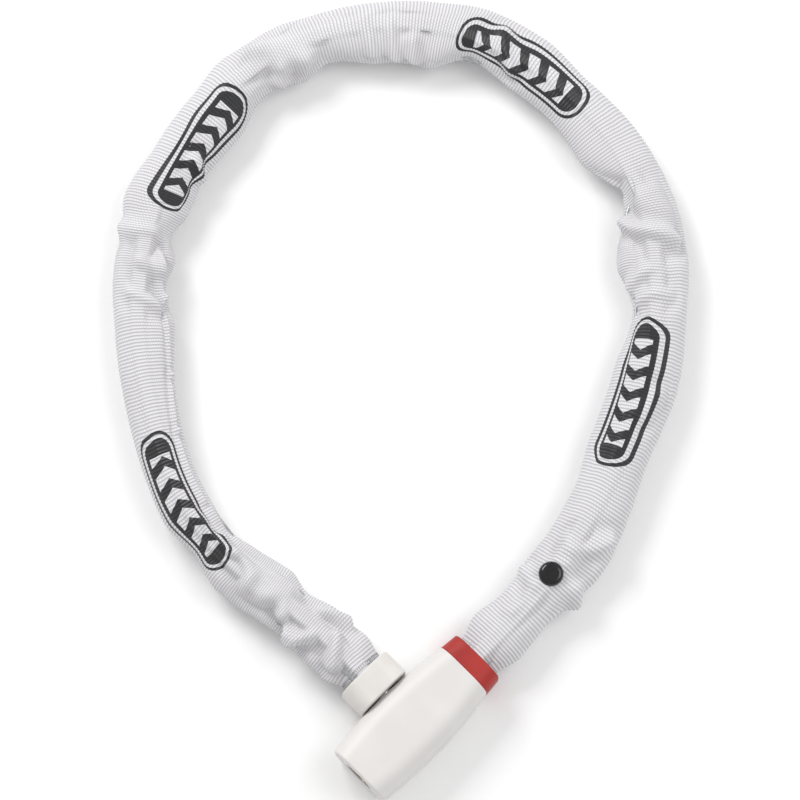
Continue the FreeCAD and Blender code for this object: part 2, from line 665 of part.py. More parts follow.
core_start = "coverWall + play"
core_end = "coverLength"
anchor_pin_at = collar_end + " + firstLink - " + pin_to_end
fork_end = anchor_pin_at + " + forkReach"
slot_start = collar_end + " + firstLink - linkLength / 2 - 1"
block = box("core_block", core_end + " - (" + core_start + ")", "coreWidth", "coreHeight", x=core_start)
doc.recompute()
rounded_block = doc.addObject("Part::Fillet", "core_rounded")
rounded_block.Base = block
long_edges = [k + 1 for k, edge in enumerate(block.Shape.Edges) if edge.BoundBox.XLength > 30]
rounded_block.Edges = [(k, value("coreEdge"), value("coreEdge")) for k in long_edges]
fork = box("core_fork", fork_end + " - (" + core_end + ") + 2", "forkWidth", "forkHeight",
           x=core_end + " - 2", z=fork_z)
clip_groove = cut("clip_groove",
                  box("groove_block", "clipThickness + play", "2 * forkWidth", "2 * forkHeight",
                      x=clip_at, z=fork_z),
                  box("groove_neck", "3 * clipThickness", "forkWidth - 2 * clipDepth",
                      "forkHeight - 2 * clipDepth", x=clip_at + " - clipThickness", z=fork_z))
roll_pin_y = "housingDiameter / 2"
core = cut("core_cut", fuse("core_solid", rounded_block, fork),
           cylinder("housing_bore", "housingDiameter + 2 * pinFit", "housingEnd - coverWall + 0.2",
                    x="coverWall - 0.1", rotation=AXIS_X),
           cylinder("cam_chamber", "chamberDiameter", "camReach + 0.4 - housingEnd + 0.3",
                    x="housingEnd - 0.3", rotation=AXIS_X),
           cylinder("bush_bore", "bushDiameter + 2 * pinFit", "coreWidth", x="studAt",
                    y="-studNose - 1.2", rotation=AXIS_Y),
           box("anchor_slot", "2 * linkLength", "linkWidth + 0.8", "forkSlot", x=slot_start, z=fork_z),
           cylinder("anchor_hole", "pinDiameter + 2 * pinFit", TALL, x=anchor_pin_at, z="-sleeveHeight"),
           cylinder("roll_hole", "rollPin + 2 * pinFit", "coreHeight - 3", x="housingEnd - 3",
                    y=roll_pin_y, z="-coreHeight / 2 - 0.1"),
           clip_groove)
sub_part(core, "lock_core", lock_frame)

bush_tube = cut("bush_tube",
                cylinder("bush_outer", "bushDiameter", "bushEnd + studNose + 1", x="studAt",
                         y="-studNose - 1", rotation=AXIS_Y),
                cylinder("bush_inner", "studDiameter + 2 * studFit", "2 * bushEnd", x="studAt",
                         y="-studNose - 0.4", rotation=AXIS_Y))
bush = cut("bush_cut", bush_tube,
           cylinder("bush_window", "chamberDiameter", "camReach + 0.4 - camStart", x="camStart",
                    rotation=AXIS_X))
sub_part(bush, "socket_bush", lock_frame)


def round_pin(name, diameter, length):
    """Pin standing on z, its ends bevelled."""
    body = new_body(name)
    rim = "%s / 2" % diameter
    half = "(%s) / 2" % length
    add_profile(new_sketch(body, "XZ_Plane"), [
        ("0", "-" + half), (rim + " - 0.4", "-" + half), (rim, "0.4 - " + half),
        (rim, half + " - 0.4"), (rim + " - 0.4", half), ("0", half)])
    revolve(body, body.Group[-1])
    return body


def in_frame(frame, x, y="0", z="0"):
    return frame.multiply(Placement(Vector(value(x), value(y), value(z)), Rotation()))


sub_part(round_pin("anchor_pin_body", "pinDiameter", "forkHeight - 0.4"), "anchor_pin",
         in_frame(lock_frame, anchor_pin_at, z=fork_z))
anchor_link = group("anchor_link_group", [copy_of(link_body, Placement(), "anchor_link_copy")])
sub_part(anchor_link, "anchor_link", in_frame(lock_frame, collar_end + " + firstLink", z=fork_z))
sub_part(round_pin("roll_pin_body", "rollPin", "coreHeight - 3.4"), "cylinder_pin",
         in_frame(lock_frame, "housingEnd - 3", roll_pin_y, "-1.6"))

# ---- lock cylinder --------------------------------------------------------------------------------

housing = new_body("housing_body")
sketch = new_sketch(housing, "YZ_Plane", "housingStart")
add_circle(sketch, "housingDiameter")
add_circle(sketch, "plugBore")
pad(housing, sketch, "housingEnd - housingStart")
sketch = new_sketch(housing, "YZ_Plane", "housingEnd - 1")
groove_half, groove_top = value("waferGroove") / 2, value("plugDiameter") / 2 + value("waferTravel")
first = add_loop(sketch, [(-groove_half, 0), (groove_half, 0), (groove_half, groove_top),
                          (-groove_half, groove_top)])
sketch.addConstraint(Sketcher.Constraint("Horizontal", first + 2))
sketch.addConstraint(Sketcher.Constraint("Vertical", first + 1))
sketch.addConstraint(Sketcher.Constraint("Vertical", first + 3))
sketch.addConstraint(Sketcher.Constraint("Symmetric", first, 1, first, 2, -2))
sketch.addConstraint(Sketcher.Constraint("PointOnObject", first, 1, -1))
dimension(sketch, "DistanceX", first, 1, first, 2, "waferGroove")
dimension(sketch, "DistanceY", first + 1, 1, first + 1, 2, "plugDiameter / 2 + waferTravel - 0.1")
groove = pocket(housing, sketch, "housingEnd - housingStart - 2")
around = housing.newObject("PartDesign::PolarPattern", "wafer_grooves")
around.Originals = [groove]
around.Axis = ([item for item in housing.Origin.OriginFeatures if item.Role == "X_Axis"][0], [""])
around.Angle = 360
around.Occurrences = 4
housing.Tip = around
doc.recompute()
housing_cut = cut("housing_cut", housing,
                  cylinder("housing_notch", "rollPin + 2 * pinFit", "coreHeight", x="housingEnd - 3",
                           y=roll_pin_y, z="-coreHeight / 2"))
sub_part(housing_cut, "cylinder_housing", lock_frame)

plug = new_body("plug_body")
sketch = new_sketch(plug, "YZ_Plane", "housingStart")
add_circle(sketch, "plugDiameter")
pad(plug, sketch, "housingEnd - housingStart + 0.6")
sketch = new_sketch(plug, "YZ_Plane", "plugFaceStart")
add_circle(sketch, "plugFace")
pad(plug, sketch, "housingStart - plugFaceStart + 1")
round_edges(plug, "plugEdge", lambda edge: edge.XMax < value("plugFaceStart") + 0.01)
sketch = new_sketch(plug, "YZ_Plane", "housingEnd")
add_rectangle(sketch, "camSquare", "camSquare")
pad(plug, sketch, "camStart + camThickness - 0.1 - housingEnd")
sketch = new_sketch(plug, "YZ_Plane", "waferStart + waferStep * waferCount")
add_rectangle(sketch, "keywayWidth", "keywayHeight")
pocket(plug, sketch, "waferStart + waferStep * waferCount")
sketch = new_sketch(plug, "XY_Plane", across="waferStart")
add_rectangle(sketch, "waferThickness + 2 * waferPlay", "waferWidth + 2 * waferPlay")
slot = pocket(plug, sketch, "2 * plugDiameter", both=True)
rows = plug.newObject("PartDesign::LinearPattern", "wafer_slots")
rows.Originals = [slot]
rows.Direction = ([item for item in plug.Origin.OriginFeatures if item.Role == "X_Axis"][0], [""])
bind(rows, Length="waferStep * (waferCount - 1)")
rows.Occurrences = int(value("waferCount"))
plug.Tip = rows
doc.recompute()
spring_holes = []
stations = ["waferStart + %d * waferStep" % k for k in range(int(value("waferCount")))]
for k, station in enumerate(stations):
    hole = box("spring_pocket_%d" % (k + 1), "waferThickness + 2 * waferPlay", "springRoomWidth",
               "springRoomHeight", x=station + " - waferThickness / 2 - waferPlay",
               y="springRoomWidth / 2 + play", z="-1")
    spring_holes.append(hole)
screw_hole = cylinder("cam_screw_hole", "screwDiameter + 2 * pinFit", "screwLength + 4 * play",
                      x="camStart + camThickness - screwLength - 3 * play", rotation=AXIS_X)
sub_part(cut("plug_cut", plug, screw_hole, *spring_holes), "key_plug", lock_frame)

cam_disc = cut("cam_disc",
               cylinder("cam_plate", "camDiameter", "camThickness", x="camStart", rotation=AXIS_X),
               box("cam_hole", "3 * camThickness", "camSquare + 0.06", "camSquare + 0.06",
                   x="camStart - camThickness"))
finger = common("cam_finger",
                box("finger_block", "camReach - camStart", "fingerWidth", "camDiameter / 2",
                    x="camStart", z="fingerInner + camDiameter / 4"),
                cylinder("finger_round", "camDiameter", "camReach", x="0", rotation=AXIS_X))
sub_part(fuse("cam_solid", cam_disc, finger), "locking_cam", lock_frame)

cam_screw = new_body("cam_screw_body")
shank_rim, head_rim, point = "screwDiameter / 2", "screwHead / 2", "-screwLength"
add_profile(new_sketch(cam_screw, "XZ_Plane"), [
    ("0", point), (shank_rim + " - 0.3", point), (shank_rim, "0.3 - screwLength"), (shank_rim, "0"),
    (head_rim, "0"), (head_rim, "screwHeadHeight - 0.4"), (head_rim + " - 0.6", "screwHeadHeight"),
    ("0", "screwHeadHeight")])
revolve(cam_screw, cam_screw.Group[-1])
slot_sketch = new_sketch(cam_screw, "XY_Plane", "screwHeadHeight")
add_rectangle(slot_sketch, "screwSlot", "screwHead + 1")
pocket(cam_screw, slot_sketch, "screwHeadHeight / 2")
sub_part(cam_screw, "cam_screw",
         lock_frame.multiply(Placement(Vector(value("camStart + camThickness"), 0, 0), AXIS_X)))

# Wafers: thin plates with a window for the key and an ear that its spring pushes up.
wafer_plate = common("wafer_plate",
                     box("wafer_block", "waferThickness", "waferWidth", "plugDiameter",
                         x="-waferThickness / 2"),
                     cylinder("wafer_round", "plugDiameter - 0.3", "2 * waferThickness",
                              x="-waferThickness", rotation=AXIS_X))
wafer_ear = box("wafer_ear", "waferThickness", "earWidth", "earHeight", x="-waferThickness / 2",
                y="earAt", z="earRise")
wafer = cut("wafer_pattern", fuse("wafer_solid", wafer_plate, wafer_ear),
            box("wafer_window", "3 * waferThickness", "keywayWidth + 0.8", "windowHeight",
                x="-1.5 * waferThickness"))
wafers = [copy_of(wafer, Placement(Vector(value(station), 0, 0), Rotation()), "wafer_%d" % (k + 1))
          for k, station in enumerate(stations)]
sub_part(group("wafer_group", wafers), "wafers", lock_frame)

# Springs under the ears, at rest pressed to a third of their free length.
coil = doc.addObject("Part::Helix", "spring_coil")
bind(coil, Pitch="springPitch", Height="springHeight", Radius="springRadius")
coil_wire = bind(doc.addObject("Part::Circle", "spring_wire"), Radius="springWire / 2")
place(coil_wire, "springRadius", "0", "0", Rotation(Vector(1, 0, 0), 90))
coil_sweep = doc.addObject("Part::Sweep", "spring_pattern")
coil_sweep.Sections = [coil_wire]
doc.recompute()
coil_sweep.Spine = (coil, ["Edge%d" % (k + 1) for k in range(len(coil.Shape.Edges))])
coil_sweep.Solid = True
coil_sweep.Frenet = True
springs = []
for k, station in enumerate(stations):
    foot = Vector(value(station), value("springAt"), value("springFoot"))
    springs.append(copy_of(coil_sweep, Placement(foot, Rotation()), "spring_%d" % (k + 1)))
sub_part(group("spring_group", springs), "wafer_springs", lock_frame)

# ---- stud and cap ---------------------------------------------------------------------------------

stud = new_body("stud_body")
rod, neck, flange = "studDiameter / 2", "grooveDiameter / 2", "flangeDiameter / 2"
flange_end = "flangeStart + flangeThickness"
add_profile(new_sketch(stud, "XY_Plane", across="studAt"), [
    ("0", "-studNose"), (rod + " - noseBevel", "-studNose"), (rod, "noseBevel - studNose"),
    (rod, "grooveStart"), (neck, "grooveStart"), (neck, "grooveEnd"), (rod, "grooveEnd"),
    (rod, "flangeStart"), (flange, "flangeStart"), (flange, flange_end), ("0", flange_end)])
revolve(stud, stud.Group[-1])
stud_fork = box("stud_fork", "forkWidth", "studPinAt + forkReach - flangeStart - 0.5", "forkHeight",
                x="studAt - forkWidth / 2", y="(studPinAt + forkReach + flangeStart + 0.5) / 2", z=fork_z)
stud_slot = box("stud_slot", "linkWidth + 2", "linkLength", "forkSlot", x="studAt - linkWidth / 2 - 1",
                y="studPinAt + " + pin_to_end + " - 1", z=fork_z)
stud_hole = cylinder("stud_hole", "pinDiameter + 2 * pinFit", TALL, x="studAt", y="studPinAt",
                     z="-sleeveHeight")
stud_solid = fuse("stud_solid", stud, stud_fork)
sub_part(cut("stud_cut", stud_solid, stud_slot, stud_hole), "locking_stud", lock_frame)
sub_part(round_pin("stud_pin_body", "pinDiameter", "forkHeight - 0.4"), "stud_pin",
         in_frame(lock_frame, "studAt", "studPinAt", fork_z))

cap = new_body("cap_body")
sketch = new_sketch(cap, "XZ_Plane", "-capStart", across="studAt")
add_rectangle(sketch, "capWidth", "capHeight")
pad(cap, sketch, "capLength", reverse=True)
round_edges(cap, "capEdge", lambda edge: edge.YLength > 10)
round_edges(cap, "capLip", lambda edge: edge.YLength < 0.01)
sketch = new_sketch(cap, "XZ_Plane", "-capStart - capLength", across="studAt", rise=fork_z)
add_rounded_rectangle(sketch, "mouthWidth", "mouthHeight", "mouthEdge")
pocket(cap, sketch, "capLength - capWall", reverse=True)
sketch = new_sketch(cap, "XZ_Plane", across="studAt")
add_circle(sketch, "studDiameter + 4 * studFit")
pocket(cap, sketch, "flangeStart + 1")
sub_part(cap, "stud_cap", lock_frame)

# ---- checks and files -----------------------------------------------------------------------------

doc.removeObject("probe")
doc.recompute()
for item in doc.Objects:
    if any(word in ("Invalid", "Error") for word in item.State):
        raise RuntimeError("%s failed: %s" % (item.Name, item.State))

os.makedirs("parts", exist_ok=True)
for node, item in parts:
    shape = item.Shape
    if shape.isNull() or not shape.isValid() or not shape.Solids:
        raise RuntimeError(node + " has no valid solid")
    shape.exportStep("parts/%s.step" % node)
    print("%-20s %8.1f mm3  %d solid(s)" % (node, shape.Volume, len(shape.Solids)))

print("turns", [round(math.degrees(turn), 2) for turn in turns])
print("arc radii", [round(arc_radius(span, turns[span]), 1) for span in range(SPANS)])
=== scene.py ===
import json
import math

import bpy
import numpy as np
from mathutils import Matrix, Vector


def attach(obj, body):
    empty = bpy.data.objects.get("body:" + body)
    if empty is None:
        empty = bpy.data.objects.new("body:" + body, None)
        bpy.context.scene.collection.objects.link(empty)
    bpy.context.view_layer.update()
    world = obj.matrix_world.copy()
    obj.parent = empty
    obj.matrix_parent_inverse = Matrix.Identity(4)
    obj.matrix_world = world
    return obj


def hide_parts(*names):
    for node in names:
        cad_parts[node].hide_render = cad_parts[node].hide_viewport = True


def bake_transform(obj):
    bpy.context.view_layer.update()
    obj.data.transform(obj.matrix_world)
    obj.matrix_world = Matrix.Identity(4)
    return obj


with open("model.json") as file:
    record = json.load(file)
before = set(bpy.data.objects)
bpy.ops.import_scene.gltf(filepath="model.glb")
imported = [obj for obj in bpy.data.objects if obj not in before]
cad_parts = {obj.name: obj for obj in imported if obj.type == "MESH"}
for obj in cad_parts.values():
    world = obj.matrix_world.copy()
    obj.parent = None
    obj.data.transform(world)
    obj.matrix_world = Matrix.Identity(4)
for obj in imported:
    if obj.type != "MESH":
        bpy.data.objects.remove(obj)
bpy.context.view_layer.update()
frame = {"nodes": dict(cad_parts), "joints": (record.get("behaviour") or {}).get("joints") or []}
mm = 0.001


# Small helpers that every part of the script uses.
def linearColour(hexText):
    steps = [int(hexText[i : i + 2], 16) / 255 for i in (1, 3, 5)]
    return [c / 12.92 if c <= 0.04045 else ((c + 0.055) / 1.055) ** 2.4 for c in steps] + [1.0]


def addNode(tree, kind, inputs=None, **settings):
    node = tree.nodes.new(kind)
    for name, value in settings.items():
        setattr(node, name, value)
    for name, value in (inputs or {}).items():
        if isinstance(value, bpy.types.NodeSocket):
            tree.links.new(value, node.inputs[name])
        elif isinstance(value, str) and value.startswith("#"):
            node.inputs[name].default_value = linearColour(value)
        else:
            node.inputs[name].default_value = value
    return node


def maths(tree, operation, *values):
    node = addNode(tree, "ShaderNodeMath", dict(enumerate(values)), operation=operation)
    return node.outputs["Value"]


def vectorMaths(tree, operation, *values):
    node = addNode(tree, "ShaderNodeVectorMath", dict(enumerate(values)), operation=operation)
    return node.outputs["Value" if operation == "LENGTH" else "Vector"]


def startMaterial(name):
    material = bpy.data.materials.new(name)
    material.use_nodes = True
    tree = material.node_tree
    tree.nodes.clear()
    shader = addNode(tree, "ShaderNodeBsdfPrincipled")
    addNode(tree, "ShaderNodeOutputMaterial", {"Surface": shader.outputs["BSDF"]})
    return material, tree, shader


def fineness(size):
    # the texture scale that makes features of about this many millimetres
    return 1000 / size


def noise(tree, place, scale, detail):
    inputs = {"Vector": place, "Scale": scale, "Detail": detail}
    return addNode(tree, "ShaderNodeTexNoise", inputs).outputs["Fac"]


def colourRamp(tree, factor, stops):
    # stops are (place, colour), and a new ramp already has two
    node = addNode(tree, "ShaderNodeValToRGB", {"Fac": factor})
    ramp = node.color_ramp
    while len(ramp.elements) < len(stops):
        ramp.elements.new(1.0)
    for element, (place, colour) in zip(ramp.elements, stops):
        element.position = place
        element.color = linearColour(colour)
    return node.outputs["Color"]


def mixColours(tree, share, first, second, blending="MIX"):
    # sockets 6 and 7 take the node's colours, and socket 2 gives the mixed one
    node = addNode(
        tree,
        "ShaderNodeMix",
        {"Factor": share, 6: first, 7: second},
        data_type="RGBA",
        blend_type=blending,
    )
    return node.outputs[2]


def addGloss(tree, shader, value, roughness, low=0.0, high=1.0):
    # roughness goes from its first to its second number as the value goes from low to high
    gloss = addNode(
        tree,
        "ShaderNodeMapRange",
        {
            "Value": value,
            "From Min": low,
            "From Max": high,
            "To Min": roughness[0],
            "To Max": roughness[1],
        },
    )
    tree.links.new(gloss.outputs["Result"], shader.inputs["Roughness"])


def addBump(tree, shader, height, strength, depth):
    # depth is in millimetres
    bump = addNode(
        tree,
        "ShaderNodeBump",
        {"Height": height, "Strength": strength, "Distance": depth * mm},
    )
    tree.links.new(bump.outputs["Normal"], shader.inputs["Normal"])


def setMaterial(obj, material):
    obj.data.materials.clear()
    obj.data.materials.append(material)


def meshPiece(name, points, faces, edges=()):
    mesh = bpy.data.meshes.new(name)
    mesh.from_pydata([tuple(p) for p in points], edges, faces)
    mesh.polygons.foreach_set("use_smooth", [True] * len(mesh.polygons))
    mesh.update()
    obj = bpy.data.objects.new(name, mesh)
    bpy.context.scene.collection.objects.link(obj)
    return obj


print("materials of the hard parts")
# Moulded plastics: an even base colour, cloudy by a few percent, over a fine spark-eroded grain.
# Cloud and grain are how wide each pattern's features are, and depth is the grain's, all in
# millimetres.
plastics = {
    "cover_plastic": {
        "name": "softTouchWhiteAbsMoulded",  # ABS, soft-touch lacquer: matt, broad highlights
        "colour": "#DDDAD8",
        "shade": "#D9D6D4",
        "grain": 0.35,
        "cloud": 18.0,
        "depth": 0.012,
        "roughness": (0.42, 0.55),
    },
    "collar_plastic": {
        "name": "redAbsMoulded",  # through-coloured ABS: satin, deeper red where it turns away
        "colour": "#A8231A",
        "shade": "#9A1D16",
        "grain": 0.4,
        "cloud": 9.0,
        "depth": 0.015,
        "roughness": (0.5, 0.62),
    },
    "cap_plastic": {
        "name": "creamAbsMoulded",  # uncoated ABS: a little yellower and glossier than the cover
        "colour": "#DCD9D5",
        "shade": "#D7D3CE",
        "grain": 0.3,
        "cloud": 11.0,
        "depth": 0.012,
        "roughness": (0.38, 0.5),
    },
}


def plasticMaterial(look):
    material, tree, shader = startMaterial(look["name"])
    place = addNode(tree, "ShaderNodeTexCoord").outputs["Object"]
    cloud = noise(tree, place, fineness(look["cloud"]), detail=3.0)
    grain = noise(tree, place, fineness(look["grain"]), detail=2.0)
    tint = colourRamp(tree, cloud, [(0.35, look["shade"]), (0.65, look["colour"])])
    tree.links.new(tint, shader.inputs["Base Color"])
    addGloss(tree, shader, grain, look["roughness"], low=0.3, high=0.7)
    addBump(tree, shader, grain, strength=0.25, depth=look["depth"])
    shader.inputs["IOR"].default_value = 1.5
    return material


# Metals: each has the marks of how it was made, stretched one way or even.
# Marks are their sizes in millimetres along x, y and z.
metals = {
    "chain_steel": {
        "name": "zincPlatedSteelBentWire",  # plated square wire: pale grey, softly mottled sheen
        "colour": "#C6C8CA",
        "shade": "#9FA2A6",
        "marks": (2.2, 2.2, 2.2),
        "depth": 0.02,
        "roughness": (0.28, 0.45),
    },
    "cast_zinc": {
        "name": "zincDieCast",  # as cast: dull grey skin with fine flow marks
        "colour": "#B4B5B8",
        "shade": "#8F9094",
        "marks": (1.1, 1.1, 3.0),
        "depth": 0.03,
        "roughness": (0.42, 0.6),
    },
    "lock_brass": {
        "name": "brassTurned",  # turned on a lathe: warm, with fine tool lines
        "colour": "#D9B36A",
        "shade": "#B48A42",
        "marks": (0.25, 0.25, 6.0),
        "depth": 0.012,
        "roughness": (0.2, 0.36),
    },
    "hard_steel": {
        "name": "hardenedSteelGround",  # centreless ground: bright, with short grinding lines
        "colour": "#CDCFD2",
        "shade": "#A9ACB0",
        "marks": (0.18, 4.0, 0.18),
        "depth": 0.01,
        "roughness": (0.18, 0.32),
    },
}


def metalMaterial(look):
    material, tree, shader = startMaterial(look["name"])
    place = addNode(tree, "ShaderNodeTexCoord").outputs["Object"]
    stretch = [fineness(size) for size in look["marks"]]
    spread = addNode(tree, "ShaderNodeMapping", {"Vector": place, "Scale": stretch})
    marks = noise(tree, spread.outputs["Vector"], scale=1.0, detail=4.0)
    tint = colourRamp(tree, marks, [(0.3, look["shade"]), (0.7, look["colour"])])
    tree.links.new(tint, shader.inputs["Base Color"])
    addGloss(tree, shader, marks, look["roughness"])
    addBump(tree, shader, marks, strength=0.4, depth=look["depth"])
    shader.inputs["Metallic"].default_value = 1.0
    return material


# Stove enamel on the steel rivet: black and glossy, with a faint orange-peel ripple.
enamel = {
    "name": "blackStoveEnamel",
    "colour": "#0E0E10",
    "worn": "#1C1C1F",
    "ripple": 1.6,
    "depth": 0.02,
    "roughness": 0.16,
    "coat": 0.3,
    "coatRoughness": 0.06,
    "specular": 0.35,
}


def enamelMaterial():
    material, tree, shader = startMaterial(enamel["name"])
    place = addNode(tree, "ShaderNodeTexCoord").outputs["Object"]
    ripple = noise(tree, place, fineness(enamel["ripple"]), detail=1.0)
    tint = colourRamp(tree, ripple, [(0.4, enamel["colour"]), (0.8, enamel["worn"])])
    tree.links.new(tint, shader.inputs["Base Color"])
    addBump(tree, shader, ripple, strength=0.5, depth=enamel["depth"])
    shader.inputs["Roughness"].default_value = enamel["roughness"]
    shader.inputs["IOR"].default_value = 1.5
    shader.inputs["Coat Weight"].default_value = enamel["coat"]
    shader.inputs["Coat Roughness"].default_value = enamel["coatRoughness"]
    shader.inputs["Specular IOR Level"].default_value = enamel["specular"]
    return material


finishes = {slot: plasticMaterial(look) for slot, look in plastics.items()}
finishes.update({slot: metalMaterial(look) for slot, look in metals.items()})
finishes["rivet_black"] = enamelMaterial()

# Which parts take which finish. What isn't named here, such as the links, is chain steel.
finishOf = {
    "body_cover": "cover_plastic",
    "end_collar": "collar_plastic",
    "collar_clips": "collar_plastic",
    "stud_cap": "cap_plastic",
    "rivet": "rivet_black",
    "lock_core": "cast_zinc",
    "keyway_bezel": "hard_steel",
    "cylinder_housing": "lock_brass",
    "key_plug": "lock_brass",
    "wafers": "lock_brass",
    "cylinder_pin": "hard_steel",
    "socket_bush": "hard_steel",
    "anchor_pin": "hard_steel",
    "locking_cam": "hard_steel",
    "cam_screw": "hard_steel",
    "wafer_springs": "hard_steel",
    "locking_stud": "hard_steel",
    "stud_pin": "hard_steel",
}
for nodeName, node in frame["nodes"].items():
    setMaterial(node, finishes[finishOf.get(nodeName, "chain_steel")])


print("route of the chain")
# The chain leaves the collar straight and then runs on one arc for each span, each tangent to the
# last. Lengths are in millimetres, and the heading is in degrees.
route = {"collarToPivot": 13.0, "pivotToCap": 3.0, "firstHeading": 45.0, "height": 12.0}
chainJoints = [j for j in frame["joints"] if j["name"].startswith("chain_")]
pivots = [Vector(j["pos_m"][:2]) for j in chainJoints]
chainBodies = ["lock_body"] + [j["child"] for j in chainJoints]


def chainRoute():
    heading = math.radians(route["firstHeading"])
    lead = route["collarToPivot"] * mm
    start = pivots[0] - lead * Vector((math.cos(heading), math.sin(heading)))
    # each run is the station, point and heading that it starts at, and its curvature
    runs = [(0.0, start, heading, 0.0)]
    station = lead
    for here, there in zip(pivots[:-1], pivots[1:]):
        chord = there - here
        lean = math.atan2(chord.y, chord.x) - heading
        lean = (lean + math.pi) % (2 * math.pi) - math.pi
        length = chord.length * lean / math.sin(lean)
        runs.append((station, here, heading, 2 * lean / length))
        station += length
        heading += 2 * lean
    runs.append((station, pivots[-1], heading, 0.0))
    return runs


routeRuns = chainRoute()
pivotStations = [run[0] for run in routeRuns[1:]]
routeLength = pivotStations[-1] + route["pivotToCap"] * mm


def alongRoute(stations):
    # points on the chain's centre line and its headings, for an array of stations
    stations = np.asarray(stations, float)
    points, headings = np.zeros((len(stations), 2)), np.zeros(len(stations))
    starts = [run[0] for run in routeRuns]
    which = np.clip(np.searchsorted(starts, stations, side="right") - 1, 0, len(starts) - 1)
    for i, (begin, point, heading, curvature) in enumerate(routeRuns):
        chosen = which == i
        gone = stations[chosen] - begin
        turned = heading + curvature * gone
        if curvature == 0.0:
            ahead = [math.cos(heading), math.sin(heading)]
            points[chosen] = np.array(point) + gone[:, None] * ahead
        else:
            radius = 1 / curvature
            points[chosen, 0] = point.x + radius * (np.sin(turned) - math.sin(heading))
            points[chosen, 1] = point.y - radius * (np.cos(turned) - math.cos(heading))
        headings[chosen] = turned
    return points, headings


print("sleeve: laying the tube")
# The sleeve is a woven tube, a little longer and wider than the chain needs, so it gathers in
# folds. Sizes are in millimetres.
sleeve = {
    "ribPitch": 1.5,
    "ribHeight": 0.28,
    "ribMiddle": 0.6,  # the share of a rib's height that stays on the smooth tube
    "rowsPerRib": 6,
    "columns": 96,
    "round": 80.0,  # right round the tube
    "spare": 1.08,  # length of cloth for each length of chain
    "tuck": 4.0,  # how much goes inside the collar and the cap
    "scale": 12.0,  # how much larger than the object the simulation is
    "simStep": 2.8,
    "simRound": 32,
    "simSize": 0.97,  # the tube starts a little small, because it swells
    "simNoise": 0.12,
    "frames": 26,
    "gap": 0.4,  # between the cloth and the chain inside while it settles
    "sunk": 2.0,  # how far a thread may move inwards, outwards and along the surface
    "proud": 2.6,
    "slid": 1.3,
    "coreColumns": 12,
    "coreWidth": 0.66,  # the chain inside, as shares of the tube's width and height
    "coreHeight": 0.72,
    "chainRoom": 9.5,  # how far from the middle the links hold the cloth
    "chainHalf": 2.5,  # half the width of that hold, the run of its shoulder, and its fade
    "chainShoulder": 4.0,
    "chainFade": 2.0,
    "softness": 0.6,
    "height": 12.2,
    "endHeight": 9.2,  # the tube is lower where it enters the collar and the cap
    "endRun": 16.0,
    "offFloor": 0.25,  # no part of the cloth goes lower
    "badgePitch": 171.0,
    "firstBadge": 136.0,
    "badges": 4,
    "bendReach": 22.0,  # how far the sleeve's bend reaches on each side of a pivot
    "seed": 7,
}
clothSettings = {
    "quality": 6,
    "mass": 0.25,
    "tension_stiffness": 30,
    "compression_stiffness": 30,
    "shear_stiffness": 10,
    "bending_stiffness": 1.5,
    "air_damping": 4.0,
    "use_pressure": True,
    "uniform_pressure_force": 3.5,
    "vertex_group_mass": "held",
}
# Where the sleeve is pulled in and where it stands out: station, and its half widths to the inner
# and the outer side of the loop.
sleeveWidths = [
    (0, 11, 10.5), (14, 13.6, 12.6), (30, 11.6, 11.8), (46, 13, 16.8), (66, 11.8, 17.2),
    (88, 12, 14.6), (112, 14.8, 12.2), (146, 14.4, 14.4), (174, 10, 13.6), (198, 16, 15),
    (212, 13.8, 15), (223, 9.6, 14.4), (228, 7.6, 14), (233, 6.4, 13.8), (238, 9.4, 13.4),
    (245, 13, 13.2), (256, 15.6, 12.8),
    (282, 13.2, 11.4), (306, 12.4, 14.8), (330, 8.8, 15.8), (352, 17.2, 13.4), (378, 15.6, 12.2),
    (402, 11.2, 12), (416, 14.6, 13.4), (438, 11.4, 14.4), (462, 16.6, 11.4), (486, 15, 11.6),
    (510, 13.8, 15), (522, 10, 13.4), (534, 13.4, 12.4), (546, 11.4, 12), (566, 15, 10.8),
    (594, 12, 10.6), (630, 10, 11.2), (650, 9.8, 12), (666, 8.8, 9.6), (684, 11.6, 13.2),
    (702, 13.2, 12.4), (714, 10.2, 11.8), (728, 13, 13.4), (743, 12.6, 13.2), (753, 10.8, 10.4),
    (757, 10.6, 10),
]
# Where spare cloth has slid together: station, share of extra length, and how far it spreads.
sleeveGathers = [(215, 0.5, 22), (345, 0.25, 22), (425, 0.3, 18), (530, 0.5, 26), (700, 0.5, 34)]

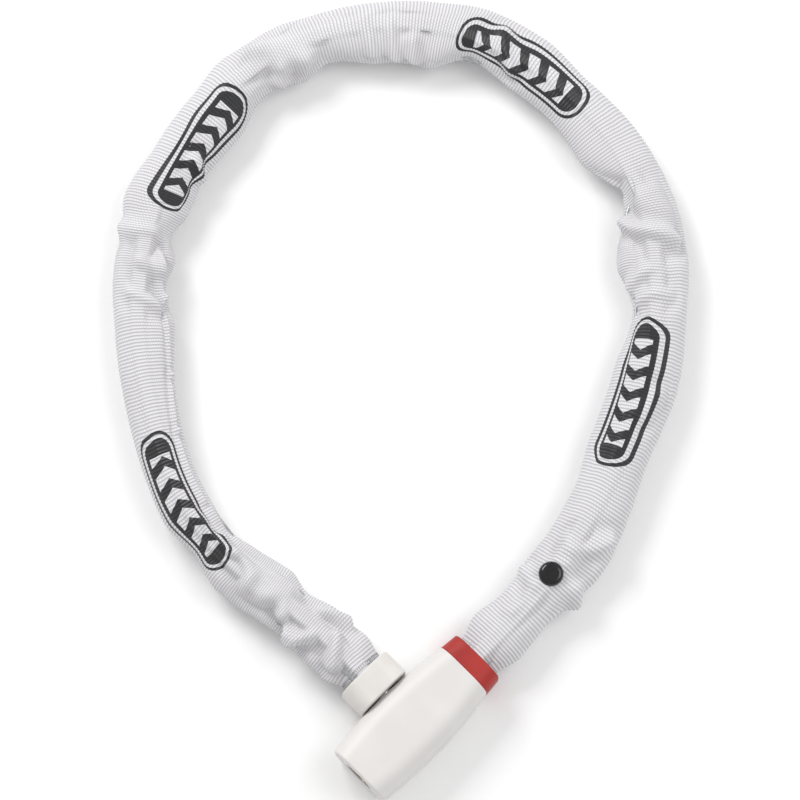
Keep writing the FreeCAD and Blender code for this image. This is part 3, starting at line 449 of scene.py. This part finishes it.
# Folds pressed into the cloth: from station and way round (0 is the top, outwards is more), to
# station and way round, then depth and half width.
sleeveFolds = [
    (217, -14, 205, 8, 2.0, 3.0), (225, 1, 212, 4, 1.3, 4.8), (185, -15, 192, -2, 1.1, 3.0),
    (179, -10, 182, 1, 1.3, 3.0), (128, 2, 138, 5, 0.9, 3.0), (56, 3, 64, -1, 1.7, 3.2),
    (62, 3, 74, 12, 1.3, 3.0), (50, 11, 45, 20, 1.1, 3.0), (43, -14, 40, -3, 1.0, 3.0),
    (38, 0, 25, -3, 0.8, 3.0), (370, -1, 367, -15, 1.4, 3.4), (360, -5, 358, -15, 1.8, 3.2),
    (380, 2, 378, -12, 0.9, 3.2), (432, 6, 413, -6, 1.9, 4.6), (425, -6, 428, -15, 1.4, 3.0),
    (486, -6, 491, -15, 1.4, 3.0), (524, 15, 524, -2, 1.0, 3.4), (533, -6, 553, -14, 1.8, 2.3),
    (538, 1, 540, -6, 1.8, 4.0), (552, 5, 557, -7, 1.2, 3.0), (659, 0, 676, 1, 1.5, 3.0),
    (670, -5, 690, 1, 1.7, 3.2), (692, 4, 708, 0, 2.4, 4.4), (680, -2, 711, -8, 1.5, 3.0),
    (712, 6, 720, 11, 2.4, 3.2), (720, 11, 727, 3, 2.4, 3.2), (734, -2, 742, 6, 2.4, 3.2),
    (726, -9, 733, -14, 1.4, 3.0), (47, 3, 48, 3, 1.4, 6.4), (311, -6, 321, 4, 1.4, 3.2),
    (553, -13, 589, -13, 0.7, 1.5), (589, -13, 616, -10, 0.7, 1.5), (616, -10, 651, -9, 0.6, 1.5),
]
# How all folds are pressed. Each has a raised rim beside it: its height is a share of the fold's
# depth, and its distance is in half widths. Deepest and highest are limits where folds cross.
pressing = {
    "strength": 1.8,
    "rim": 0.5,
    "rimAway": 2.1,
    "deepest": 4.6,
    "highest": 3.0,
    "endRun": 6,
}
# How far the print has turned round the chain, towards the outer side: station and millimetres.
sleeveTwist = [(0, -3.5), (136, -3.5), (309, -1.5), (479, -4.9), (560, -1), (649, 4.3), (756, 5)]


def smoothCurve(places, values, at):
    # a monotone cubic through the points, level at its peaks, so it never overshoots
    places, values, at = (np.asarray(x, float) for x in (places, values, at))
    steps = np.diff(values) / np.diff(places)
    slopes = np.zeros(len(values))
    same = steps[:-1] * steps[1:] > 0
    slopes[1:-1][same] = 2 * (steps[:-1] * steps[1:])[same] / (steps[:-1] + steps[1:])[same]
    i = np.clip(np.searchsorted(places, at) - 1, 0, len(places) - 2)
    gap = places[i + 1] - places[i]
    t = np.clip((at - places[i]) / gap, 0, 1)
    ease = t * t * (3 - 2 * t)
    bend = slopes[i] * gap * t * (1 - t) ** 2 - slopes[i + 1] * gap * t * t * (1 - t)
    return values[i] + (values[i + 1] - values[i]) * ease + bend


def fabricStations(rows):
    # stations on the route for evenly spaced threads: closer together where the cloth has gathered
    samples = 4000
    fine = np.linspace(-sleeve["tuck"] * mm, routeLength + sleeve["tuck"] * mm, samples)
    extra = np.full(len(fine), 1.0)
    for station, share, spread in sleeveGathers:
        extra += share * np.exp(-(((fine / mm - station) / spread) ** 2))
    cloth = np.concatenate([[0], np.cumsum((extra[1:] + extra[:-1]) / 2 * np.diff(fine))])
    cloth *= sleeve["spare"] * (fine[-1] - fine[0]) / cloth[-1]
    return np.interp(np.linspace(0, cloth[-1], rows), cloth, fine), cloth[-1]


def sectionAngles(columns):
    # 0 is the top, and angles run towards the outer side of the loop
    return np.arange(columns) * 2 * math.pi / columns


def layTube(stations, columns, grow=1.0):
    # the tube before it has settled, as a grid of points
    points, headings = alongRoute(stations)
    places = [w[0] for w in sleeveWidths]
    inner = smoothCurve(places, [w[1] for w in sleeveWidths], stations / mm) * mm * grow
    outer = smoothCurve(places, [w[2] for w in sleeveWidths], stations / mm) * mm * grow
    angles = sectionAngles(columns)
    side = np.sin(angles)[None, :]
    across = np.where(side > 0, outer[:, None], inner[:, None]) * side
    fromEnd = np.minimum(stations, routeLength - stations) / mm / sleeve["endRun"]
    fromEnd = np.clip(fromEnd, 0, 1) * (2 - np.clip(fromEnd, 0, 1))
    height = sleeve["endHeight"] + (sleeve["height"] - sleeve["endHeight"]) * fromEnd
    up = height[:, None] * mm * np.cos(angles)[None, :] * np.ones_like(across) * grow
    grid = np.zeros((len(stations), columns, 3))
    grid[:, :, 0] = points[:, 0, None] + np.sin(headings)[:, None] * across
    grid[:, :, 1] = points[:, 1, None] - np.cos(headings)[:, None] * across
    grid[:, :, 2] = route["height"] * mm + up
    return grid


def gridFaces(rows, columns):
    # quads of a tube whose columns close on themselves, facing outwards
    r, c = np.meshgrid(np.arange(rows - 1), np.arange(columns), indexing="ij")
    after = (c + 1) % columns
    near, far = r * columns, (r + 1) * columns
    quads = np.stack([near + c, far + c, far + after, near + after], -1)
    return quads.reshape(-1, 4).tolist()


def settleSleeve(laid, clothLength):
    # cloth simulation: light air pressure blows the tube out over the chain inside
    rows, columns = laid.shape[:2]
    scale = sleeve["scale"]
    radius = sleeve["round"] * mm / (2 * math.pi)
    angles = sectionAngles(columns)
    flat = np.zeros_like(laid)
    flat[:, :, 0] = np.linspace(0, clothLength, rows)[:, None]
    flat[:, :, 1] = radius * np.sin(angles)[None, :]
    flat[:, :, 2] = radius * np.cos(angles)[None, :]
    cloth = meshPiece("sleeveCloth", flat.reshape(-1, 3) * scale, gridFaces(rows, columns))
    cloth.shape_key_add(name="flat")
    key = cloth.shape_key_add(name="laid")
    uneven = np.random.default_rng(sleeve["seed"]).normal(0, sleeve["simNoise"] * mm, laid.shape)
    key.data.foreach_set("co", ((laid + uneven) * scale).ravel())
    key.value = 1.0
    held = cloth.vertex_groups.new(name="held")
    heldRows = 2
    firstRows = range(heldRows * columns)
    lastRows = range((rows - heldRows) * columns, rows * columns)
    held.add([*firstRows, *lastRows], 1.0, "REPLACE")

    around = sleeve["coreColumns"]
    core = layTube(fabricStations(rows)[0], around, sleeve["coreWidth"])
    height = route["height"] * mm
    core[:, :, 2] = height + (core[:, :, 2] - height) * sleeve["coreHeight"]
    chainCloth = meshPiece("chainCloth", core.reshape(-1, 3) * scale, gridFaces(rows, around))
    chainCloth.modifiers.new("solid", "COLLISION")
    chainCloth.collision.thickness_outer = sleeve["gap"] * mm * scale

    settle = cloth.modifiers.new("settle", "CLOTH")
    for name, value in clothSettings.items():
        setattr(settle.settings, name, value)
    settle.settings.rest_shape_key = cloth.data.shape_keys.key_blocks["flat"]
    settle.settings.effector_weights.gravity = 0.0
    settle.collision_settings.distance_min = sleeve["gap"] * mm * scale
    settle.point_cache.frame_start, settle.point_cache.frame_end = 1, sleeve["frames"]
    for step in range(1, sleeve["frames"] + 1):
        bpy.context.scene.frame_set(step)
    shaped = cloth.evaluated_get(bpy.context.evaluated_depsgraph_get()).data
    settled = np.zeros(rows * columns * 3)
    shaped.vertices.foreach_get("co", settled)
    for done in (cloth, chainCloth):
        bpy.data.objects.remove(done)
    bpy.context.scene.frame_set(1)
    return keepNear(settled.reshape(rows, columns, 3) / scale, laid)


def keepNear(settled, laid):
    # the chain inside and the weave's stiffness cap how far a thread moves from where it was laid
    normals = gridNormals(laid)
    moved = settled - laid
    for axis, mode in ((0, "edge"), (1, "wrap"), (0, "edge"), (1, "wrap")):
        room = [(1, 1) if k == axis else (0, 0) for k in range(3)]
        padded = np.moveaxis(np.pad(moved, room, mode=mode), axis, 0)
        moved = np.moveaxis((padded[:-2] + 2 * padded[1:-1] + padded[2:]) / 4, 0, axis)
    out = (moved * normals).sum(2, keepdims=True)
    reach = np.where(out > 0, sleeve["proud"], sleeve["sunk"]) * mm
    slid = moved - out * normals
    length = np.maximum(np.linalg.norm(slid, axis=2, keepdims=True), 1e-9)
    slide = sleeve["slid"] * mm
    moves = [round(float(part.mean() / mm), 2) for part in (np.abs(out), length)]
    print("cloth moved", *moves, "mm")
    proud = reach * np.tanh(out / reach) * normals
    return laid + proud + slide * np.tanh(length / slide) * slid / length


def wayRound(columns):
    # millimetres round the sleeve from its top, outwards is more
    angles = sectionAngles(columns)
    signed = np.where(angles > math.pi, angles - 2 * math.pi, angles)
    return signed * sleeve["round"] / (2 * math.pi)


def pressFolds(grid, stations, normals):
    along, around = stations[:, None] / mm, wayRound(grid.shape[1])[None, :]
    press = np.zeros(grid.shape[:2])
    rimAway = pressing["rimAway"]
    for s1, a1, s2, a2, depth, width in sleeveFolds:
        ds, da = s2 - s1, a2 - a1
        gone = np.clip(((along - s1) * ds + (around - a1) * da) / (ds * ds + da * da), 0, 1)
        away = np.hypot(along - s1 - gone * ds, around - a1 - gone * da)
        press += pressing["rim"] * depth * np.exp(-(((away - rimAway * width) / width) ** 2))
        press -= depth * np.exp(-((away / width) ** 2))
    press = np.clip(pressing["strength"] * press, -pressing["deepest"], pressing["highest"])
    ends = np.minimum(along, routeLength / mm - along)
    press = press * np.clip(ends / pressing["endRun"], 0, 1)
    grid = grid + normals * press[:, :, None] * mm

    # the chain holds the cloth off its links, softly, and less towards the sides
    half, shoulder = sleeve["chainHalf"], sleeve["chainShoulder"]
    across = acrossRoute(grid, stations)[0]
    edge = np.clip((np.abs(across) / mm - half) / shoulder, 0, 1)
    room = sleeve["chainRoom"] * (1 - edge * edge * (3 - 2 * edge)) * mm
    rise = grid[:, :, 2] - route["height"] * mm
    top = np.abs(around) < sleeve["round"] / 4
    soft = sleeve["softness"] * mm
    pushed = room + soft * np.logaddexp(0, (np.abs(rise) - room) / soft)
    share = np.clip((half + shoulder - np.abs(across) / mm) / sleeve["chainFade"], 0, 1)
    rise = rise + (np.where(top, 1.0, -1.0) * pushed - rise) * share
    grid[:, :, 2] = route["height"] * mm + rise
    return grid


def acrossRoute(grid, stations):
    # how far each point is to the outer side of the chain's centre line, and which way that is
    points, headings = alongRoute(stations)
    away = np.stack([np.sin(headings), -np.cos(headings)], 1)
    return ((grid[:, :, :2] - points[:, None, :]) * away[:, None, :]).sum(2), away


def drawInSides(grid, stations):
    # draws each side smoothly to the widths above, and keeps the folds that the cloth made
    across, away = acrossRoute(grid, stations)
    places = [w[0] for w in sleeveWidths]
    smoothing = 3
    kernel = np.hanning(2 * smoothing + 1)
    kernel /= kernel.sum()
    for side, column in ((-1, 1), (1, 2)):
        wanted = smoothCurve(places, [w[column] for w in sleeveWidths], stations / mm) * mm
        reach = (across * side).max(1)
        reach = np.convolve(np.pad(reach, smoothing, mode="edge"), kernel, mode="valid")
        factor = np.where(across * side > 0, (wanted / reach)[:, None], 1.0)
        grid[:, :, :2] += away[:, None, :] * (across * (factor - 1))[:, :, None]
        across = across * factor
    return grid


def cubic(values, at, wrap):
    # cubic interpolation along the first axis
    count = len(values)
    i = np.floor(at).astype(int)
    t = (at - i).reshape((-1,) + (1,) * (values.ndim - 1))
    near = [i + k for k in (-1, 0, 1, 2)]
    near = [n % count if wrap else np.clip(n, 0, count - 1) for n in near]
    a, b, c, d = (values[n] for n in near)
    square = 2 * a - 5 * b + 4 * c - d
    cube = 3 * b - a - 3 * c + d
    return 0.5 * (2 * b + (c - a) * t + square * t**2 + cube * t**3)


def refine(grid, rows, columns):
    grid = cubic(grid, np.linspace(0, len(grid) - 1, rows), False)
    turned = cubic(grid.swapaxes(0, 1), np.arange(columns) * grid.shape[1] / columns, True)
    return turned.swapaxes(0, 1)


def gridNormals(grid):
    along = np.gradient(grid, axis=0)
    around = np.roll(grid, -1, axis=1) - np.roll(grid, 1, axis=1)
    normals = np.cross(along, around)
    return normals / np.maximum(np.linalg.norm(normals, axis=2, keepdims=True), 1e-12)


def makeSleeve():
    clothLength = sleeve["spare"] * (routeLength + 2 * sleeve["tuck"] * mm)
    coarseRows = int(clothLength / (sleeve["simStep"] * mm)) + 1
    coarse, clothLength = fabricStations(coarseRows)
    laid = layTube(coarse, sleeve["simRound"], sleeve["simSize"])
    settled = settleSleeve(laid, clothLength)
    settled = drawInSides(settled, coarse)
    ribs = int(clothLength / (sleeve["ribPitch"] * mm))
    rows = ribs * sleeve["rowsPerRib"] + 1
    stations = fabricStations(rows)[0]
    normals = gridNormals(layTube(stations, sleeve["columns"]))
    grid = pressFolds(refine(settled, rows, sleeve["columns"]), stations, normals)
    cloth = np.linspace(0, ribs, rows)
    rib = np.abs(np.sin(math.pi * cloth))  # round cords with a narrow groove between them
    lift = (rib - sleeve["ribMiddle"]) * sleeve["ribHeight"] * mm
    grid += gridNormals(grid) * lift[:, None, None]
    grid[:, :, 2] = np.maximum(grid[:, :, 2], sleeve["offFloor"] * mm)
    return grid, stations, ribs


sleeveGrid, sleeveStations, ribCount = makeSleeve()
print("sleeve grid", sleeveGrid.shape, "ribs", ribCount)

# The woven polyester and its print. Everything is worked out from the cloth's own coordinates.
# Sizes are in millimetres of cloth.
weave = {
    # painted shade: thread is the white on top of the cords, cord is greyer for their sides, and
    # groove is the grey shade between them
    "thread": "#E4E3E5",
    "cord": "#D3D2D5",
    "groove": "#A3A2A7",
    "clean": "#FFFFFF",
    "soiled": "#F3F2F2",
    "stitch": 0.95,
    "stitchShare": 0.5,  # how much the stitches and the fuzz add to the cords' height
    "fuzzShare": 0.25,
    "level": 0.62,  # brings the summed height back to the ramps' range
    "depth": 0.16,
    "print": "#17171A",
    "printWorn": "#3A3A3D",
    "badgeHalf": 34.0,
    "badgeRound": 8.9,
    "border": 1.5,
    "keyline": 1.5,
    "chevronSlant": 0.75,
    "chevronPitch": 9.5,
    "chevronWidth": 5.2,
    "chevronHalf": 4.3,
    "rowHalf": 24.0,
    "clothRoughness": 0.86,
    "printRoughness": 0.42,
}


def badgeInk(tree, along, around):
    # 1 where the badge is printed: a long rounded label, less its keyline and a row of chevrons
    phase = maths(tree, "ADD", along, -badgeCloth[0])
    half = (badgeCloth[-1] - badgeCloth[0]) / (len(badgeCloth) - 1) / 2
    fromMiddle = maths(tree, "WRAP", phase, half, -half)
    spot = addNode(tree, "ShaderNodeCombineXYZ", {"X": fromMiddle, "Y": around})
    beyond = vectorMaths(tree, "ABSOLUTE", spot.outputs["Vector"])
    straight = weave["badgeHalf"] - weave["badgeRound"]
    past = vectorMaths(tree, "SUBTRACT", beyond, (straight, 0, 0))
    reach = vectorMaths(tree, "LENGTH", vectorMaths(tree, "MAXIMUM", past, (0, 0, 0)))
    label = maths(tree, "LESS_THAN", reach, weave["badgeRound"])
    lineMiddle = weave["badgeRound"] - weave["border"] - weave["keyline"] / 2
    line = maths(tree, "COMPARE", reach, lineMiddle, weave["keyline"] / 2)

    sides = addNode(tree, "ShaderNodeSeparateXYZ", {"Vector": beyond}).outputs
    slant = maths(tree, "MULTIPLY_ADD", sides["Y"], -weave["chevronSlant"], fromMiddle)
    arrow = maths(tree, "WRAP", slant, weave["chevronPitch"], 0.0)
    bar = maths(tree, "LESS_THAN", arrow, weave["chevronWidth"])
    low = maths(tree, "LESS_THAN", sides["Y"], weave["chevronHalf"])
    near = maths(tree, "LESS_THAN", sides["X"], weave["rowHalf"])
    chevrons = maths(tree, "MULTIPLY", maths(tree, "MULTIPLY", bar, low), near)
    light = maths(tree, "MAXIMUM", chevrons, line)
    return maths(tree, "MAXIMUM", maths(tree, "SUBTRACT", label, light), 0.0)


def sleeveMaterial():
    # woven polyester: matt white cords, greyed towards the grooves by painted shade; the screen
    # print on it is satin black
    material, tree, shader = startMaterial("whitePolyesterWoven")
    uv = addNode(tree, "ShaderNodeUVMap", uv_map="cloth").outputs["UV"]
    cloth = vectorMaths(tree, "MULTIPLY", uv, (1000, 1000, 0))  # now in millimetres
    parts = addNode(tree, "ShaderNodeSeparateXYZ", {"Vector": cloth}).outputs
    along, around = parts["X"], parts["Y"]

    # cords across the sleeve, each crossed by short stitches, staggered from one cord to the next
    turn = maths(tree, "MULTIPLY", along, math.pi / sleeve["ribPitch"])
    cord = maths(tree, "ABSOLUTE", maths(tree, "SINE", turn))
    row = maths(tree, "FLOOR", maths(tree, "DIVIDE", along, sleeve["ribPitch"]))
    stagger = maths(tree, "MULTIPLY", row, 0.5)
    lane = maths(tree, "ADD", maths(tree, "DIVIDE", around, weave["stitch"]), stagger)
    wave = maths(tree, "SINE", maths(tree, "MULTIPLY", lane, math.pi))
    stitch = maths(tree, "ABSOLUTE", wave)
    height = maths(tree, "MULTIPLY_ADD", stitch, weave["stitchShare"], cord)
    fuzz = noise(tree, cloth, scale=3.0, detail=3.0)
    soil = noise(tree, cloth, scale=0.05, detail=2.0)
    fuzzy = maths(tree, "MULTIPLY_ADD", fuzz, weave["fuzzShare"], height)
    tone = maths(tree, "MULTIPLY", fuzzy, weave["level"])

    # painted shade: the lower the weave, the greyer it is painted, darkest in the grooves between
    # the cords
    cordShading = [(0.2, weave["groove"]), (0.62, weave["cord"]), (1.0, weave["thread"])]
    tint = colourRamp(tree, tone, cordShading)
    wear = mixColours(tree, soil, weave["clean"], weave["soiled"])
    white = mixColours(tree, 1.0, tint, wear, "MULTIPLY")
    black = colourRamp(tree, tone, [(0.12, weave["printWorn"]), (0.4, weave["print"])])
    ink = badgeInk(tree, along, around)
    tree.links.new(mixColours(tree, ink, white, black), shader.inputs["Base Color"])
    addGloss(tree, shader, ink, (weave["clothRoughness"], weave["printRoughness"]))
    addBump(tree, shader, tone, strength=0.5, depth=weave["depth"])
    shader.inputs["Sheen Weight"].default_value = 0.25
    shader.inputs["Sheen Roughness"].default_value = 0.5
    return material


def clothAt(station):
    # millimetres of cloth from the collar's end of the sleeve to a station
    cloth = np.linspace(0, ribCount * sleeve["ribPitch"], len(sleeveStations))
    return float(np.interp(station * mm, sleeveStations, cloth))


badgeStations = [sleeve["firstBadge"] + i * sleeve["badgePitch"] for i in range(sleeve["badges"])]
badgeCloth = [clothAt(s) for s in badgeStations]
print("badges at cloth lengths", [round(b) for b in badgeCloth])
sleeveWeave = sleeveMaterial()


def sleevePieces():
    # one piece for each joint, cut in the groove nearest to the middle of each span
    perRib = sleeve["rowsPerRib"]
    cuts = [0]
    for here, there in zip(pivotStations[:-1], pivotStations[1:]):
        row = int(np.searchsorted(sleeveStations, (here + there) / 2))
        cuts.append(round(row / perRib) * perRib)
    cuts.append(len(sleeveGrid) - 1)
    columns = sleeve["columns"]
    pieces = []
    for i, (first, last) in enumerate(zip(cuts[:-1], cuts[1:])):
        part = sleeveGrid[first : last + 1]
        name = f"sleeveCloth{i + 1:02d}"
        obj = meshPiece(name, part.reshape(-1, 3), gridFaces(len(part), columns))
        along = (np.arange(first, last + 1) / perRib) * sleeve["ribPitch"] * mm
        size = sleeve["round"] * mm
        around = (np.arange(columns + 1) / columns) * size
        corners = np.zeros((len(part) - 1, columns, 4, 2))
        corners[:, :, (0, 3), 0] = along[:-1, None, None]
        corners[:, :, (1, 2), 0] = along[1:, None, None]
        left = np.where(np.arange(columns) < columns // 2, around[:-1], around[:-1] - size)
        corners[:, :, (0, 1), 1] = left[None, :, None]
        corners[:, :, (2, 3), 1] = (left + size / columns)[None, :, None]
        places = sleeveStations[first : last + 1] / mm
        twist = smoothCurve([t[0] for t in sleeveTwist], [t[1] for t in sleeveTwist], places) * mm
        corners[:, :, (0, 3), 1] -= twist[:-1, None, None]
        corners[:, :, (1, 2), 1] -= twist[1:, None, None]
        obj.data.uv_layers.new(name="cloth").data.foreach_set("uv", corners.ravel())
        setMaterial(obj, sleeveWeave)
        pieces.append(obj)
    return pieces


print("sleeve: cutting it at the spans")
standIns = {0: ["fixed_sleeve", "sleeve_01"], len(pivots) - 1: ["end_sleeve"]}
for i, piece in enumerate(sleevePieces()):
    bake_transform(piece)
    stood = standIns.get(i, [f"sleeve_{i + 1:02d}"])
    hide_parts(*stood)


print("hem: sewing it beside the cap")
# A row of short stitches runs round the sleeve just outside the cap, where its end is hemmed.
# Sizes are in millimetres.
# The stitches' dark grey is painted shade, standing in for the shadowed holes between the white
# stitches.
hem = {
    "outside": 2.4,  # from the cap to the row's near end
    "length": 1.8,
    "pitch": 1.4,
    "thread": 0.17,
    "lift": 0.14,
    # painted shade: both greys stand in for the shadowed holes between the stitches
    "colour": "#96959A",
    "shade": "#7E7D82",
    "ply": 0.5,
    "depth": 0.05,
}


def hemMaterial():
    # bonded polyester thread, twisted, a little shinier than the cloth; its dark grey is painted
    # shade for the shadowed holes between the stitches
    material, tree, shader = startMaterial("polyesterThreadPaintedStitchShade")
    place = addNode(tree, "ShaderNodeTexCoord").outputs["Object"]
    turns = fineness(hem["ply"]) / math.tau
    wave = {"Vector": place, "Scale": turns, "Distortion": 0.6}
    ply = addNode(tree, "ShaderNodeTexWave", wave).outputs["Fac"]
    tint = colourRamp(tree, ply, [(0.2, hem["shade"]), (0.8, hem["colour"])])
    tree.links.new(tint, shader.inputs["Base Color"])
    addBump(tree, shader, ply, strength=0.4, depth=hem["depth"])
    shader.inputs["Roughness"].default_value = 0.6
    return material


def sewingGroup(material):
    # every edge of the mesh that comes in becomes a round thread
    group = bpy.data.node_groups.new("sewThreads", "GeometryNodeTree")
    sockets = group.interface
    sockets.new_socket("Seams", in_out="INPUT", socket_type="NodeSocketGeometry")
    radius = sockets.new_socket("Thread radius", in_out="INPUT", socket_type="NodeSocketFloat")
    sockets.new_socket("Threads", in_out="OUTPUT", socket_type="NodeSocketGeometry")
    given = addNode(group, "NodeGroupInput").outputs
    lines = addNode(group, "GeometryNodeMeshToCurve", {"Mesh": given["Seams"]})
    section = addNode(
        group,
        "GeometryNodeCurvePrimitiveCircle",
        {"Resolution": 8, "Radius": given["Thread radius"]},
    )
    threads = addNode(
        group,
        "GeometryNodeCurveToMesh",
        {
            "Curve": lines.outputs["Curve"],
            "Profile Curve": section.outputs["Curve"],
            "Fill Caps": True,
        },
    )
    real = addNode(group, "GeometryNodeRealizeInstances", {"Geometry": threads.outputs["Mesh"]})
    painted = addNode(
        group,
        "GeometryNodeSetMaterial",
        {"Geometry": real.outputs["Geometry"], "Material": material},
    )
    addNode(group, "NodeGroupOutput", {"Threads": painted.outputs["Geometry"]})
    return group, radius.identifier


def sewHem():
    # each stitch starts as a three-point line laid on the cloth
    last = routeLength - hem["outside"] * mm
    places = [last - hem["length"] * mm * k / 2 for k in range(3)]
    rows = [int(np.searchsorted(sleeveStations, place)) for place in places]
    count = int(sleeve["round"] / hem["pitch"])
    margin = sleeve["rowsPerRib"]
    normals = gridNormals(sleeveGrid[rows[-1] - margin : rows[0] + margin + 1])
    columns = sleeve["columns"]
    at = np.arange(count) * columns / count
    before, share = at.astype(int), (at % 1)[:, None]
    after = (before + 1) % columns
    points = []
    for row in rows:
        ring = sleeveGrid[row] + normals[row - rows[-1] + margin] * hem["lift"] * mm
        points.append(ring[before] * (1 - share) + ring[after] * share)
    edges = [(k + row * count, k + (row + 1) * count) for k in range(count) for row in (0, 1)]
    obj = meshPiece("hemStitches", np.concatenate(points), [], edges)
    group, radius = sewingGroup(hemMaterial())
    sewing = obj.modifiers.new("sewing", "NODES")
    sewing.node_group = group
    sewing[radius] = hem["thread"] * mm
    evaluated = obj.evaluated_get(bpy.context.evaluated_depsgraph_get())
    sewn = bpy.data.meshes.new_from_object(evaluated)
    obj.modifiers.clear()
    obj.data = sewn
    sewn.name = "hemStitches"
    sewn.polygons.foreach_set("use_smooth", [True] * len(sewn.polygons))
    return obj


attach(sewHem(), chainBodies[-1])


print("floor, lights and camera")
studio = {
    "aim": (0.0, -0.0023, 0.011),  # metres, like the places of the lights
    "elevation": 78.0,
    "distance": 1.6,
    "lens": 165.5,
    "sensor": 36.0,
    "floor": "#F7F7F7",
    "floorHalf": 6.0,
    "sky": 0.62,
    "key": {"place": (-0.75, 0.85, 1.1), "size": 0.7, "power": 13.5},
    "fill": {"place": (0.9, 0.1, 1.2), "size": 1.0, "power": 7.5},
}


def floorMaterial():
    # matt painted board, with a faint fibre
    material, tree, shader = startMaterial("whiteBoardPainted")
    place = addNode(tree, "ShaderNodeTexCoord").outputs["Object"]
    fibre = noise(tree, place, scale=900.0, detail=2.0)
    addBump(tree, shader, fibre, strength=0.05, depth=0.02)
    shader.inputs["Base Color"].default_value = linearColour(studio["floor"])
    shader.inputs["Roughness"].default_value = 0.9
    return material


half = studio["floorHalf"]
floorCorners = [(-half, -half, 0), (half, -half, 0), (half, half, 0), (-half, half, 0)]
floor = meshPiece("studioFloor", floorCorners, [(0, 1, 2, 3)])
setMaterial(floor, floorMaterial())

world = bpy.data.worlds.new("studioWorld")
bpy.context.scene.world = world
world.use_nodes = True
sky = world.node_tree.nodes["Background"]
sky.inputs["Color"].default_value = (1.0, 1.0, 1.0, 1.0)
sky.inputs["Strength"].default_value = studio["sky"]


def softLight(name, look):
    place = Vector(look["place"])
    lamp = bpy.data.lights.new(name, "AREA")
    lamp.shape, lamp.size, lamp.energy = "SQUARE", look["size"], look["power"]
    obj = bpy.data.objects.new(name, lamp)
    obj.location = place
    obj.rotation_mode = "QUATERNION"
    obj.rotation_quaternion = (Vector(studio["aim"]) - place).to_track_quat("-Z", "Y")
    bpy.context.scene.collection.objects.link(obj)


softLight("keyBox", studio["key"])
softLight("fillBox", studio["fill"])

cameraData = bpy.data.cameras.new("stillCamera")
cameraData.lens, cameraData.sensor_width = studio["lens"], studio["sensor"]
camera = bpy.data.objects.new("stillCamera", cameraData)
rise = math.radians(studio["elevation"])
back = Vector((0, -math.cos(rise), math.sin(rise)))
camera.location = Vector(studio["aim"]) + back * studio["distance"]
camera.rotation_mode = "QUATERNION"
camera.rotation_quaternion = (-back).to_track_quat("-Z", "Y")
bpy.context.scene.collection.objects.link(camera)
bpy.context.scene.camera = camera
bpy.context.scene.view_settings.view_transform = "Standard"
